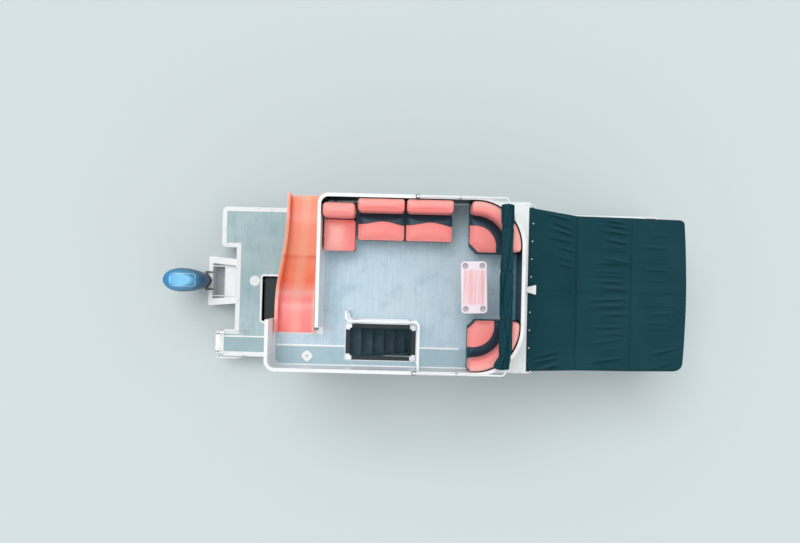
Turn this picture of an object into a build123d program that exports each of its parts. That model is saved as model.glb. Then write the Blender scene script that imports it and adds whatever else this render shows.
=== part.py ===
"""Double-deck pontoon boat, 25 ft class, in millimetres.

+X points to the bow, +Y to port and +Z up. The origin lies on the waterline and the centreline, midway
along the floats. Every seat, rail and panel is placed from the deck it stands on.
"""

from build123d import *
import os
from math import atan2, ceil, cos, degrees, radians, sin

os.makedirs("parts", exist_ok=True)

# Floats
FLOAT_DIAMETER = 635.0
FLOAT_DRAFT = 320.0
FLOAT_PITCH = 930.0
FLOAT_AFT = -3750.0
FLOAT_TIP = 3750.0
NOSE_LENGTH = 1150.0
SADDLE_WIDTH = 120.0
STRAKE_OUT = 70.0
KEEL_WIDTH = 50.0
KEEL_DEPTH = 14.0

# Lower deck
BEAM = 2590.0
DECK_AFT = -4080.0
DECK_BOW = 3500.0
DECK_Z = 500.0
FLOOR_THICK = 30.0
TRIM_WIDTH = 80.0
TRIM_LIP = 12.0
TRIM_WALL = 25.0
TRIM_HEIGHT = 112.0
DECK_CORNER_R = 90.0
NOTCH_DEPTH = 260.0
NOTCH_PORT = 586.0
NOTCH_STARBOARD = -830.0
CROSS_HEIGHT = 100.0
CROSS_FLANGE = 45.0
CROSS_WALL = 6.0
CROSS_PITCH = 422.0
SEAM_Y = -951.0
SEAM_WIDTH = 26.0
SEAM_HEIGHT = 3.0
SEAT_GAP = 0.5

# Upper deck
UPPER_Z = 2600.0
UPPER_HALF = 1295.0
UPPER_TRIM_WIDTH = 66.0
UPPER_AFT = -2192.0
UPPER_BOW = 975.0
UPPER_CORNER_R = 150.0
WING_AFT = -2905.0
WING_EDGE = -715.0
BEAM_DEPTH = 70.0
BEAM_WIDTH = 50.0
BEAM_INSET = 45.0
JOIST_INSET = 105.0
BOARD_GAP = 0.6
POST_DIAMETER = 50.0
POST_CLEAR = 12.0

# Fences
TUBE = 32.0
UPPER_CAP = 50.0
PANEL_THICK = 4.0
JOINT_GAP = 3.0
JOINT_SETBACK = 50.0
SECTION_LENGTH = 1900.0
SECTION_MIN = 150.0
UPRIGHT_PITCH = 700.0
LOWER_FENCE_HEIGHT = 750.0
LOWER_FENCE_Y = 1185.0
LOWER_FENCE_AFT = -2740.0
LOWER_FENCE_BOW = 3000.0
FENCE_FOOT = 40.0
UPPER_FENCE_HEIGHT = 800.0
UPPER_FENCE_INSET = 32.0
FENCE_CORNER_R = 130.0
GATE_WIDTH = 800.0
GATE_GAP = 8.0
BAY_AFT = -3270.0
BAY_PORT = 110.0
BAY_STARBOARD = -667.0
BAY_CORNER_R = 45.0
BOW_CURVE_R = 680.0
BOW_FENCE_X = 790.0
AFT_RAIL_END = -647.0
WING_RAIL_END = -550.0

# Stairwell
WELL_AFT = -1765.0
WELL_LENGTH = 1035.0
WELL_STARBOARD = -1140.0
WELL_WIDTH = 525.0
HATCH_FRAME_WIDTH = 55.0
HATCH_FRAME_LAP = 10.0
HATCH_FRAME_HEIGHT = 14.0
RISERS = 8
TREAD_RUN = 170.0
TREAD_DEPTH = 200.0
TREAD_THICK = 28.0
STRINGER_THICK = 20.0

# Slide
SLIDE_AFT = -2835.0
SLIDE_WIDTH = 590.0
SLIDE_SIDE_HEIGHT = 200.0
SLIDE_SHELL = 10.0
SLIDE_LAP = 40.0
SLIDE_BROW_Y = -260.0
SLIDE_BROW_R = 350.0
SLIDE_TOE_Y = 700.0
SLIDE_TOE_Z = 1480.0
SLIDE_TOE_R = 1100.0
SLIDE_EXIT_Y = 1433.0
SLIDE_EXIT_Z = 1370.0

# Furniture
SEAT_BASE_HEIGHT = 330.0
CUSHION_THICK = 120.0
BACK_TOP = 830.0
BACK_THICK = 190.0
BENCH_DEPTH = 595.0
BENCH_AFT = -1625.0
BENCH_FORE = -215.0
CHAISE_AFT = -2125.0
CHAISE_DEPTH = 765.0
CORNER_STRAIGHT = 93.0
TABLE_X = 90.0
TABLE_Y = -18.0
TABLE_LENGTH = 750.0
TABLE_WIDTH = 375.0
TABLE_THICK = 30.0
TABLE_HEIGHT = 700.0
TABLE_TURN = 2.0

# Values that follow from the ones above
half_beam = BEAM / 2
float_r = FLOAT_DIAMETER / 2
float_axis_z = float_r - FLOAT_DRAFT
frame_top = DECK_Z - FLOOR_THICK
cross_bottom = frame_top - CROSS_HEIGHT
upper_frame_top = UPPER_Z - FLOOR_THICK
joist_bottom = upper_frame_top - BEAM_DEPTH
beam_bottom = joist_bottom - BEAM_DEPTH
upper_rail_y = UPPER_HALF - UPPER_FENCE_INSET
upper_rail_top = UPPER_Z + UPPER_FENCE_HEIGHT
lower_rail_top = DECK_Z + LOWER_FENCE_HEIGHT
well_fore = WELL_AFT + WELL_LENGTH
well_port = WELL_STARBOARD + WELL_WIDTH
notch_x = DECK_AFT + NOTCH_DEPTH
post_y = LOWER_FENCE_Y - TUBE / 2 - PANEL_THICK - POST_CLEAR - POST_DIAMETER / 2


def block(x0, x1, y0, y1, z0, z1, mode=Mode.ADD):
    """Adds a box between two corners to the part that is being built."""
    with Locations(((x0 + x1) / 2, (y0 + y1) / 2, (z0 + z1) / 2)):
        Box(abs(x1 - x0), abs(y1 - y0), abs(z1 - z0), mode=mode)


def rounded_line(points, radii):
    """A line through points with rounded corners, kept out of any sketch that is open."""
    with BuildLine(mode=Mode.PRIVATE) as line:
        FilletPolyline(*points, radius=radii)
    return line.wires()[0]


def band(path, inner, outer):
    """Adds the strip of a sketch that lies between two offsets of a line."""
    near, far = path(inner), path(outer)
    with BuildLine(mode=Mode.PRIVATE) as edge:
        add(near)
        add(far)
        Line(near @ 0, far @ 0)
        Line(near @ 1, far @ 1)
    make_face(edge.edges())


def keep(built, name):
    """Labels a finished piece and writes it as one STEP file."""
    built.part.label = name
    export_step(built.part, f"parts/{name}.step")


def lower_outline(inset=0.0):
    """The lower deck seen from above, with the motor notch, set in from its edge."""
    with BuildSketch() as outline:
        with Locations(((DECK_AFT + DECK_BOW) / 2, 0)):
            Rectangle(DECK_BOW - DECK_AFT, BEAM)
        fillet(outline.vertices(), DECK_CORNER_R)
        with Locations((DECK_AFT + NOTCH_DEPTH / 2, (NOTCH_PORT + NOTCH_STARBOARD) / 2)):
            Rectangle(NOTCH_DEPTH, NOTCH_PORT - NOTCH_STARBOARD, mode=Mode.SUBTRACT)
        lips = outline.vertices().filter_by_position(
            Axis.Y, NOTCH_STARBOARD - 1, NOTCH_PORT + 1
        ).filter_by_position(Axis.X, DECK_AFT - 1, DECK_AFT + 1)
        fillet(lips, DECK_CORNER_R)
        if inset:
            offset(amount=-inset, kind=Kind.INTERSECTION)
    return outline.sketch


def upper_outline(inset=0.0):
    """The upper deck seen from above, with the wing that leads to the slide."""
    with BuildSketch() as outline:
        with Locations(((UPPER_AFT + UPPER_BOW) / 2, 0)):
            Rectangle(UPPER_BOW - UPPER_AFT, 2 * UPPER_HALF)
        with Locations(((WING_AFT + UPPER_AFT) / 2, (WING_EDGE - UPPER_HALF) / 2)):
            Rectangle(UPPER_AFT - WING_AFT, UPPER_HALF + WING_EDGE)
        rounded = [
            v
            for v in outline.vertices()
            if (abs(v.X - UPPER_AFT) < 1 and v.Y > 0) or (abs(v.X - WING_AFT) < 1 and v.Y < WING_EDGE - 1)
        ]
        fillet(rounded, UPPER_CORNER_R)
        if inset:
            offset(amount=-inset, kind=Kind.INTERSECTION)
    return outline.sketch


def edge_trim(outline, deck_z, lip_width):
    """A deck's white edge: a skirt round the floor with a lip that laps its rim."""
    with BuildPart() as trim:
        with BuildSketch(Plane.XY.offset(deck_z + TRIM_LIP - TRIM_HEIGHT)):
            add(outline(0.0))
            add(outline(TRIM_WALL), mode=Mode.SUBTRACT)
        extrude(amount=TRIM_HEIGHT)
        with BuildSketch(Plane.XY.offset(deck_z)):
            add(outline(0.0))
            add(outline(lip_width), mode=Mode.SUBTRACT)
        extrude(amount=TRIM_LIP)
        top = trim.faces().sort_by(Axis.Z)[-1]
        fillet(top.outer_wire().edges(), TRIM_LIP * 0.8)
    return trim


# Floats: rolled tubes with a swept-up nose, a keel strip, a spray strake each side and a saddle for the frame.
# Nose sections: share of the nose's length, share of the tube's radius, lift of the centre as a share of the radius.
NOSE_SECTIONS = [(0.0, 1.0, 0.0), (0.38, 0.93, 0.07), (0.70, 0.70, 0.28), (0.90, 0.40, 0.55), (1.0, 0.12, 0.80)]
nose_start = FLOAT_TIP - NOSE_LENGTH


def make_float(name, y):
    with BuildPart() as tube:
        with BuildSketch(Plane.YZ.offset(FLOAT_AFT)):
            with Locations((y, float_axis_z)):
                Circle(float_r)
        extrude(amount=nose_start - FLOAT_AFT)
        for share, size, lift in NOSE_SECTIONS:
            with BuildSketch(Plane.YZ.offset(nose_start + share * NOSE_LENGTH)):
                with Locations((y, float_axis_z + lift * float_r)):
                    Circle(size * float_r)
        loft()
        block(
            FLOAT_AFT + 60, nose_start, y - KEEL_WIDTH / 2, y + KEEL_WIDTH / 2,
            float_axis_z - float_r - KEEL_DEPTH, float_axis_z - float_r + KEEL_DEPTH,
        )
        strake_z = float_axis_z - float_r * 0.45
        rim = float_r * cos(radians(27))
        for side in (-1, 1):
            with BuildSketch(Plane.YZ.offset(FLOAT_AFT + 200)):
                with BuildLine():
                    Polyline(
                        (y + side * (rim - 30), strake_z - 40),
                        (y + side * (rim + STRAKE_OUT - 20), strake_z),
                        (y + side * (rim - 10), strake_z + 45),
                        close=True,
                    )
                make_face()
            extrude(amount=nose_start - FLOAT_AFT - 300)
        block(FLOAT_AFT + 20, nose_start + 400, y - SADDLE_WIDTH / 2, y + SADDLE_WIDTH / 2, float_axis_z, cross_bottom)
    keep(tube, name)


for float_name, float_y in (("float_port", FLOAT_PITCH), ("float_centre", 0.0), ("float_starboard", -FLOAT_PITCH)):
    make_float(float_name, float_y)

# Cross members: C channels at an even pitch between the floats and the floor.
cross_first = notch_x + 40
cross_count = ceil((DECK_BOW - 60 - cross_first) / CROSS_PITCH)
with BuildPart() as cross_members:
    with BuildSketch(Plane.XZ.offset(-(half_beam - 80))):
        for i in range(cross_count):
            x = cross_first + i * CROSS_PITCH
            with Locations((x + CROSS_FLANGE / 2, frame_top - CROSS_HEIGHT / 2)):
                Rectangle(CROSS_FLANGE, CROSS_HEIGHT)
            with Locations((x + CROSS_FLANGE / 2 + CROSS_WALL, frame_top - CROSS_HEIGHT / 2)):
                Rectangle(CROSS_FLANGE, CROSS_HEIGHT - 2 * CROSS_WALL, mode=Mode.SUBTRACT)
    extrude(amount=2 * (half_beam - 80))
keep(cross_members, "deck_cross_members")

# Lower deck floor, its edge trim, and the round deck plate near the stern.
PLATE_X, PLATE_Y, PLATE_R = -3490.0, 15.0, 90.0
with BuildPart() as lower_floor:
    with BuildSketch(Plane.XY.offset(frame_top)):
        add(lower_outline(TRIM_WALL + SEAT_GAP))
    extrude(amount=FLOOR_THICK)
keep(lower_floor, "lower_deck_floor")
keep(edge_trim(lower_outline, DECK_Z, TRIM_WIDTH), "lower_deck_trim")

with BuildPart() as deck_plate:
    with BuildSketch(Plane.XY.offset(DECK_Z)):
        with Locations((PLATE_X, PLATE_Y)):
            Circle(PLATE_R)
    extrude(amount=8)
    fillet(deck_plate.faces().sort_by(Axis.Z)[-1].edges(), 3)
keep(deck_plate, "stern_deck_plate")

# Motor bracket: two arms and a transom board aft of the notch, with gussets to the centre float.
TRANSOM_TOP = 400.0
TRANSOM_AFT = -4310.0
TRANSOM_THICK = 70.0
TRANSOM_HALF = 425.0
TRANSOM_BOTTOM = -60.0
ARM_WIDTH = 115.0
ARM_DROP = 40.0
ARM_HEIGHT = 120.0
ARM_DECK_HALF = 385.0
WELL_PLATE_DEPTH = 220.0
arm_top = DECK_Z - ARM_DROP
with BuildPart() as motor_bracket:
    for side in (-1, 1):
        with BuildSketch(Plane.XY.offset(arm_top - ARM_HEIGHT)):
            with BuildLine():
                Polyline(
                    (TRANSOM_AFT + TRANSOM_THICK, side * TRANSOM_HALF),
                    (notch_x, side * ARM_DECK_HALF),
                    (notch_x, side * (ARM_DECK_HALF - ARM_WIDTH)),
                    (TRANSOM_AFT + TRANSOM_THICK, side * (TRANSOM_HALF - ARM_WIDTH)),
                    close=True,
                )
            make_face()
        extrude(amount=ARM_HEIGHT)
        with BuildSketch(Plane.XZ.offset(-side * 260)):
            with BuildLine():
                Polyline(
                    (TRANSOM_AFT + TRANSOM_THICK, TRANSOM_BOTTOM + 20),
                    (TRANSOM_AFT + TRANSOM_THICK, arm_top - ARM_HEIGHT + 40),
                    (notch_x, arm_top - ARM_HEIGHT + 40),
                    (notch_x, 120),
                    close=True,
                )
            make_face()
        extrude(amount=8, both=True)
    block(TRANSOM_AFT, TRANSOM_AFT + TRANSOM_THICK, -TRANSOM_HALF, TRANSOM_HALF, TRANSOM_BOTTOM, TRANSOM_TOP)
    block(notch_x - WELL_PLATE_DEPTH, notch_x, -ARM_DECK_HALF + 10, ARM_DECK_HALF - 10, arm_top - 126, arm_top - 114)
keep(motor_bracket, "motor_bracket")

# Deck seam strips: the joint between the deck's wide and narrow boards, on both levels.
with BuildPart() as seams:
    for x0, x1, z in (
        (DECK_AFT + TRIM_WIDTH + 5, -700.0, DECK_Z),
        (WING_AFT + TRIM_WIDTH + 5, WELL_AFT - 15, UPPER_Z),
        (-660.0, -60.0, UPPER_Z),
    ):
        block(x0, x1, SEAM_Y - SEAM_WIDTH / 2, SEAM_Y + SEAM_WIDTH / 2, z, z + SEAM_HEIGHT)
keep(seams, "deck_seam_strips")

# Upper deck: posts, cross beams, joists, floor and trim.
POSTS = [(-2820.0, -1), (-2115.0, -1), (-2115.0, 1), (-250.0, -1), (-250.0, 1), (900.0, -1), (900.0, 1)]
with BuildPart() as posts:
    for x, side in POSTS:
        with BuildSketch(Plane.XY.offset(DECK_Z)):
            with Locations((x, side * post_y)):
                Circle(POST_DIAMETER / 2)
        extrude(amount=beam_bottom - DECK_Z)
        with BuildSketch(Plane.XY.offset(DECK_Z)):
            with Locations((x, side * post_y)):
                Rectangle(120, 70)
        extrude(amount=8)
keep(posts, "upper_deck_posts")

# Each member is a tube of its own: joists lie on the cross beams, and headers fit between the joists.
beam_half = UPPER_HALF - BEAM_INSET
joist_y = UPPER_HALF - JOIST_INSET
JOIST_AFT = UPPER_AFT + 80
JOIST_BOW = UPPER_BOW - 35
WING_JOIST_Y = -790.0
INNER_JOISTS = [-560.0, -150.0, 250.0, 700.0]
header_ends = (BEAM_WIDTH / 2 + SEAT_GAP - joist_y, INNER_JOISTS[0] - BEAM_WIDTH / 2 - SEAT_GAP)
with BuildPart() as grillage:
    for x, y0 in ((-2820.0, -beam_half), (-2115.0, -beam_half), (-250.0, -beam_half), (900.0, -beam_half)):
        y1 = beam_half if x > UPPER_AFT else WING_JOIST_Y + BEAM_WIDTH
        block(x - BEAM_WIDTH / 2, x + BEAM_WIDTH / 2, y0, y1, beam_bottom, joist_bottom - SEAT_GAP)
    for x in (WELL_AFT - 15, well_fore + 15):
        block(x - BEAM_WIDTH / 2, x + BEAM_WIDTH / 2, *header_ends, joist_bottom, upper_frame_top)
    for y, x0, x1 in (
        (-joist_y, WING_AFT + 80, JOIST_BOW),
        (WING_JOIST_Y, WING_AFT + 80, WELL_AFT - 15 - BEAM_WIDTH / 2 - SEAT_GAP),
        (joist_y, JOIST_AFT, JOIST_BOW),
        *((y, JOIST_AFT, JOIST_BOW) for y in INNER_JOISTS),
    ):
        block(x0, x1, y - BEAM_WIDTH / 2, y + BEAM_WIDTH / 2, joist_bottom, upper_frame_top)
keep(grillage, "upper_deck_beams")

SOCKET_X, SOCKET_Y = -2355.0, -1110.0
SOCKET_R = 16.0
SOCKET_CUP_R = 26.0
SOCKET_DEPTH = 60.0
SOCKET_CUTOUT = SOCKET_CUP_R + 2
SOCKET_PLATE = 10.0
# The floor is laid in boards that meet beside the hatch, at the wing and on both sides of the socket.
with BuildPart() as upper_floor:
    with BuildSketch(Plane.XY.offset(upper_frame_top)):
        add(upper_outline(TRIM_WALL + SEAT_GAP))
        with Locations(((WELL_AFT + well_fore) / 2, (WELL_STARBOARD + well_port) / 2)):
            Rectangle(WELL_LENGTH - 2 * HATCH_FRAME_LAP, WELL_WIDTH - 2 * HATCH_FRAME_LAP, mode=Mode.SUBTRACT)
        with Locations((SOCKET_X, SOCKET_Y)):
            Rectangle(2 * SOCKET_CUTOUT, 2 * SOCKET_CUTOUT, mode=Mode.SUBTRACT)
        for x in (
            SOCKET_X - SOCKET_CUTOUT, SOCKET_X + SOCKET_CUTOUT, UPPER_AFT,
            WELL_AFT + HATCH_FRAME_LAP, well_fore - HATCH_FRAME_LAP,
        ):
            with Locations((x, 0)):
                Rectangle(BOARD_GAP, 2 * UPPER_HALF, mode=Mode.SUBTRACT)
    extrude(amount=FLOOR_THICK)
keep(upper_floor, "upper_deck_floor")
keep(edge_trim(upper_outline, UPPER_Z, UPPER_TRIM_WIDTH), "upper_deck_trim")

# Pole socket in the upper deck: a turned plate with a cup through the floor.
with BuildPart() as socket:
    with BuildSketch(Plane.XY.offset(UPPER_Z)):
        with Locations(Location((SOCKET_X, SOCKET_Y, 0), (0, 0, 45))):
            RectangleRounded(140, 140, 42)
    extrude(amount=SOCKET_PLATE)
    with BuildSketch(Plane.XY.offset(UPPER_Z + SOCKET_PLATE - SOCKET_DEPTH)):
        with Locations((SOCKET_X, SOCKET_Y)):
            Circle(SOCKET_CUP_R)
    extrude(amount=SOCKET_DEPTH - SOCKET_PLATE)
    with BuildSketch(Plane.XY.offset(UPPER_Z + SOCKET_PLATE)):
        with Locations((SOCKET_X, SOCKET_Y)):
            Circle(SOCKET_R)
    extrude(amount=SOCKET_PLATE - SOCKET_DEPTH, mode=Mode.SUBTRACT)
keep(socket, "pole_socket")


# Fences: welded sections of square tube, bolted end to end, each with a sheet on its inner face.
# A section is a straight run or one corner, with an upright at both ends.
def fence_sections(path):
    """Start and end of each section of a fence run, as lengths along its line."""
    line = path(0.0)
    stops, run = [], 0.0
    for edge in line.edges():
        if edge.geom_type == GeomType.CIRCLE:
            stops += [run - JOINT_SETBACK, run + edge.length + JOINT_SETBACK]
        run += edge.length
    stops = [0.0, *(s for s in stops if SECTION_MIN < s < line.length - SECTION_MIN), line.length]
    sections = []
    for start, end in zip(stops, stops[1:]):
        parts = ceil((end - start) / SECTION_LENGTH)
        step = (end - start) / parts
        sections += [(start + step * k, start + step * (k + 1)) for k in range(parts)]
    return sections


def across_line(path, run):
    """A place on a fence's line, a length along it, turned to face along the line."""
    line = path(0.0)
    spot, along = line @ (run / line.length), line % (run / line.length)
    return Location((spot.X, spot.Y, 0), (0, 0, degrees(atan2(along.Y, along.X))))


def cut_joints(path, z, height):
    """Parts a fence run between its sections."""
    for start, _ in fence_sections(path)[1:]:
        with BuildSketch(Plane.XY.offset(z)) as joint:
            with Locations(across_line(path, start)):
                Rectangle(JOINT_GAP, 3 * TUBE)
        extrude(joint.sketch, amount=height, mode=Mode.SUBTRACT)


def fence_frame(path, z, height, cap):
    """Adds the tubes of one fence run; path(inset) gives its line in plan, and cap is its top rail's width."""
    for level, width in ((z + FENCE_FOOT, TUBE), (z + height - TUBE, cap)):
        with BuildSketch(Plane.XY.offset(level)) as tube:
            band(path, -width / 2, width / 2)
        extrude(tube.sketch, amount=TUBE)
    sections = fence_sections(path)
    for start, end in sections:
        first = start + (TUBE if start == 0 else TUBE + JOINT_GAP) / 2
        last = end - (TUBE if end == sections[-1][1] else TUBE + JOINT_GAP) / 2
        bays = max(1, round((end - start) / UPRIGHT_PITCH))
        for k in range(bays + 1):
            run = first + (last - first) * k / bays
            with BuildSketch(Plane.XY.offset(z)) as upright:
                with Locations(across_line(path, run)):
                    Rectangle(TUBE, TUBE)
            extrude(upright.sketch, amount=height - TUBE / 2)
    cut_joints(path, z, height)


def fence_panel(path, z, height, cap):
    """Adds the sheets of one fence run, face to face with the inner side of its tubes."""
    top = z + height - (TUBE / 2 if cap == TUBE else TUBE + SEAT_GAP)
    with BuildSketch(Plane.XY.offset(z + FENCE_FOOT + TUBE / 2)) as sheet:
        band(path, TUBE / 2, TUBE / 2 + PANEL_THICK)
    extrude(sheet.sketch, amount=top - (z + FENCE_FOOT + TUBE / 2))
    cut_joints(path, z, height)


gate_half = GATE_WIDTH / 2


def port_fence(i):
    r = FENCE_CORNER_R
    return rounded_line(
        [
            (LOWER_FENCE_BOW - i, gate_half),
            (LOWER_FENCE_BOW - i, LOWER_FENCE_Y - i),
            (LOWER_FENCE_AFT + i, LOWER_FENCE_Y - i),
            (LOWER_FENCE_AFT + i, BAY_PORT - i),
            (BAY_AFT + i, BAY_PORT - i),
            (BAY_AFT + i, BAY_STARBOARD + i),
            (LOWER_FENCE_AFT, BAY_STARBOARD + i),
        ],
        [r - i, r - i, r + i, BAY_CORNER_R - i, BAY_CORNER_R - i],
    )


def starboard_fence(i):
    r = FENCE_CORNER_R
    return rounded_line(
        [
            (LOWER_FENCE_BOW - i, -gate_half),
            (LOWER_FENCE_BOW - i, i - LOWER_FENCE_Y),
            (LOWER_FENCE_AFT, i - LOWER_FENCE_Y),
        ],
        [r - i],
    )


def upper_fence(i):
    aft, wing = UPPER_AFT + UPPER_FENCE_INSET, WING_AFT + UPPER_FENCE_INSET
    r = FENCE_CORNER_R
    return rounded_line(
        [
            (aft + i, AFT_RAIL_END),
            (aft + i, upper_rail_y - i),
            (BOW_FENCE_X - i, upper_rail_y - i),
            (BOW_FENCE_X - i, i - upper_rail_y),
            (wing + i, i - upper_rail_y),
            (wing + i, WING_RAIL_END),
        ],
        [r - i, BOW_CURVE_R - i, BOW_CURVE_R - i, r - i],
    )


# Fence table: name, line, deck height, fence height, width of the top rail.
FENCES = [
    ("lower_fence_port", port_fence, DECK_Z, LOWER_FENCE_HEIGHT, TUBE),
    ("lower_fence_starboard", starboard_fence, DECK_Z, LOWER_FENCE_HEIGHT, TUBE),
    ("upper_rail", upper_fence, UPPER_Z, UPPER_FENCE_HEIGHT, UPPER_CAP),
]
for fence_name, fence_path, fence_z, fence_height, fence_cap in FENCES:
    with BuildPart() as frame:
        fence_frame(fence_path, fence_z, fence_height, fence_cap)
        if fence_z == UPPER_Z:
            with BuildSketch(Plane.XY.offset(UPPER_Z)):
                add(upper_outline(0.0))
                add(upper_outline(UPPER_TRIM_WIDTH), mode=Mode.SUBTRACT)
            extrude(amount=TRIM_LIP, mode=Mode.SUBTRACT)
    keep(frame, fence_name)
    with BuildPart() as panel:
        fence_panel(fence_path, fence_z, fence_height, fence_cap)
    keep(panel, fence_name + "_panel")

# White plate on the deck's bow edge, from the rail's curve out to the trim's lip.
EDGE_PLATE_THICK = 10.0
EDGE_PLATE_GAP = 3.0
with BuildPart() as edge_plate:
    rail_side = upper_fence(-(TUBE / 2 + EDGE_PLATE_GAP))
    with BuildLine(mode=Mode.PRIVATE) as inside:
        add(rail_side)
        Line(rail_side @ 1, rail_side @ 0)
    with BuildSketch(Plane.XY.offset(UPPER_Z)) as plan:
        add(upper_outline(UPPER_TRIM_WIDTH + SEAT_GAP))
        make_face(inside.edges(), mode=Mode.SUBTRACT)
    extrude(plan.sketch, amount=EDGE_PLATE_THICK)
keep(edge_plate, "bow_edge_plate")

# Gates: the bow gate swings aft about its port edge, the stern gate swings forward about its inner edge.
GATE_STANDOFF = 55.0
HINGE_R = 8.0
HINGE_PIN_R = 4.0
HINGE_LUG = 25.0
HINGE_BARREL = 40.0
HINGE_LEAF = 30.0
HINGE_HEIGHTS = [130.0, 540.0]
RUN_GAP = 0.3
PIN_GAP = 0.1
gate_bottom = DECK_Z + GATE_STANDOFF
hinge_reach = TUBE / 2 + PANEL_THICK + HINGE_R + 1
# Gate table: name, plane, inner side, low edge, high edge. The high edge carries the hinges.
GATES = [
    ("bow_gate", LOWER_FENCE_BOW, -1, GATE_GAP - gate_half, gate_half - GATE_GAP),
    (
        "stern_gate", LOWER_FENCE_AFT, 1,
        GATE_GAP + TUBE / 2 - LOWER_FENCE_Y, BAY_STARBOARD - TUBE / 2 - GATE_GAP,
    ),
]


def upright_cylinder(x, y, z0, z1, radius, mode=Mode.ADD):
    with Locations((x, y, (z0 + z1) / 2)):
        Cylinder(radius, z1 - z0, mode=mode)


for gate_name, gate_x, inner, y0, y1 in GATES:
    axis_x, axis_y = gate_x + inner * hinge_reach, y1 + GATE_GAP / 2
    face = gate_x + inner * TUBE / 2
    sheet_face = face + inner * PANEL_THICK
    with BuildPart() as gate:
        block(gate_x - TUBE / 2, gate_x + TUBE / 2, y0, y1, lower_rail_top - TUBE, lower_rail_top)
        block(gate_x - TUBE / 2, gate_x + TUBE / 2, y0, y1, gate_bottom, gate_bottom + TUBE)
        for y in (y0, y1 - TUBE):
            block(gate_x - TUBE / 2, gate_x + TUBE / 2, y, y + TUBE, gate_bottom, lower_rail_top)
        block(face, sheet_face, y0, y1, gate_bottom, lower_rail_top - TUBE / 2)
        block(sheet_face, sheet_face + inner * 18, y0 + 40, y0 + 65, lower_rail_top - 160, lower_rail_top - 60)
        for height in HINGE_HEIGHTS:
            z0 = DECK_Z + height + HINGE_LUG + RUN_GAP
            z1 = z0 + HINGE_BARREL - 2 * RUN_GAP
            block(axis_x, sheet_face, axis_y - HINGE_LEAF, axis_y, z0, z1)
            upright_cylinder(axis_x, axis_y, z0, z1, HINGE_R)
            upright_cylinder(axis_x, axis_y, z0, z1, HINGE_PIN_R + PIN_GAP, Mode.SUBTRACT)
    keep(gate, gate_name)

with BuildPart() as gate_hinges:
    for _, gate_x, inner, y0, y1 in GATES:
        axis_x, axis_y = gate_x + inner * hinge_reach, y1 + GATE_GAP / 2
        post_face = gate_x + inner * (TUBE / 2 + PANEL_THICK) if inner < 0 else gate_x
        for height in HINGE_HEIGHTS:
            z0 = DECK_Z + height
            z1 = z0 + HINGE_LUG + HINGE_BARREL
            for z in (z0, z1):
                block(axis_x, post_face, axis_y, axis_y + HINGE_LEAF, z, z + HINGE_LUG)
                upright_cylinder(axis_x, axis_y, z, z + HINGE_LUG, HINGE_R)
            upright_cylinder(axis_x, axis_y, z0, z1 + HINGE_LUG, HINGE_PIN_R)
keep(gate_hinges, "gate_hinges")

# Stern locker inside the fence's aft bay.
LOCKER_CLEAR = 12.0
LOCKER_HEIGHT = 640.0
locker_in = TUBE / 2 + PANEL_THICK + LOCKER_CLEAR
with BuildPart() as locker:
    block(
        BAY_AFT + locker_in, LOWER_FENCE_AFT - 20, BAY_STARBOARD + locker_in, BAY_PORT - locker_in,
        DECK_Z, DECK_Z + LOCKER_HEIGHT,
    )
    fillet(locker.edges().filter_by(Axis.Z), BAY_CORNER_R)
    fillet(locker.faces().sort_by(Axis.Z)[-1].edges(), 18)
keep(locker, "stern_locker")

# Boarding ladder: two tubes and treads that hang from hinge ears at the stern, and fold up over the deck.
LADDER_Y = -1062.0
LADDER_WIDTH = 300.0
LADDER_LENGTH = 930.0
LADDER_TUBE_R = 16.0
LADDER_EYE_R = 20.0
LADDER_STEPS = 4
LADDER_STEP_PITCH = 240.0
LADDER_TREAD = 65.0
LADDER_OUT = 30.0
LADDER_RISE = 72.0
LADDER_PIN_R = 6.0
EAR_THICK = 8.0
ladder_x = DECK_AFT - LADDER_OUT
ladder_z = DECK_Z + LADDER_RISE
ear_face = LADDER_WIDTH / 2 + LADDER_TUBE_R + RUN_GAP


def cross_cylinder(x, y0, y1, z, radius, mode=Mode.ADD):
    """Adds a cylinder along Y between two places."""
    with Locations(Location((x, (y0 + y1) / 2, z), (90, 0, 0))):
        Cylinder(radius, abs(y1 - y0), mode=mode)


with BuildPart() as ladder:
    for side in (-1, 1):
        y = LADDER_Y + side * LADDER_WIDTH / 2
        upright_cylinder(ladder_x, y, ladder_z - LADDER_LENGTH, ladder_z - 8, LADDER_TUBE_R - 1)
        cross_cylinder(ladder_x, y - LADDER_TUBE_R, y + LADDER_TUBE_R, ladder_z, LADDER_EYE_R)
        cross_cylinder(ladder_x, y - 20, y + 20, ladder_z, LADDER_PIN_R + PIN_GAP, Mode.SUBTRACT)
    for i in range(LADDER_STEPS):
        z = ladder_z - LADDER_LENGTH + 20 + i * LADDER_STEP_PITCH
        block(
            ladder_x + LADDER_TUBE_R - LADDER_TREAD, ladder_x + LADDER_TUBE_R,
            LADDER_Y - LADDER_WIDTH / 2, LADDER_Y + LADDER_WIDTH / 2, z, z + 25,
        )
keep(ladder, "boarding_ladder")

with BuildPart() as ladder_mount:
    for side in (-1, 1):
        y0 = LADDER_Y + side * ear_face
        y1 = y0 + side * EAR_THICK
        block(ladder_x - 18, DECK_AFT + 90, y0, y1, DECK_Z + TRIM_LIP, ladder_z + 18)
        block(DECK_AFT + 15, DECK_AFT + 90, y0, y1 + side * 10, DECK_Z + TRIM_LIP, DECK_Z + TRIM_LIP + 8)
        cross_cylinder(ladder_x, y1, LADDER_Y + side * (LADDER_WIDTH / 2 - LADDER_TUBE_R), ladder_z, LADDER_PIN_R)
keep(ladder_mount, "ladder_mount")

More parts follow.
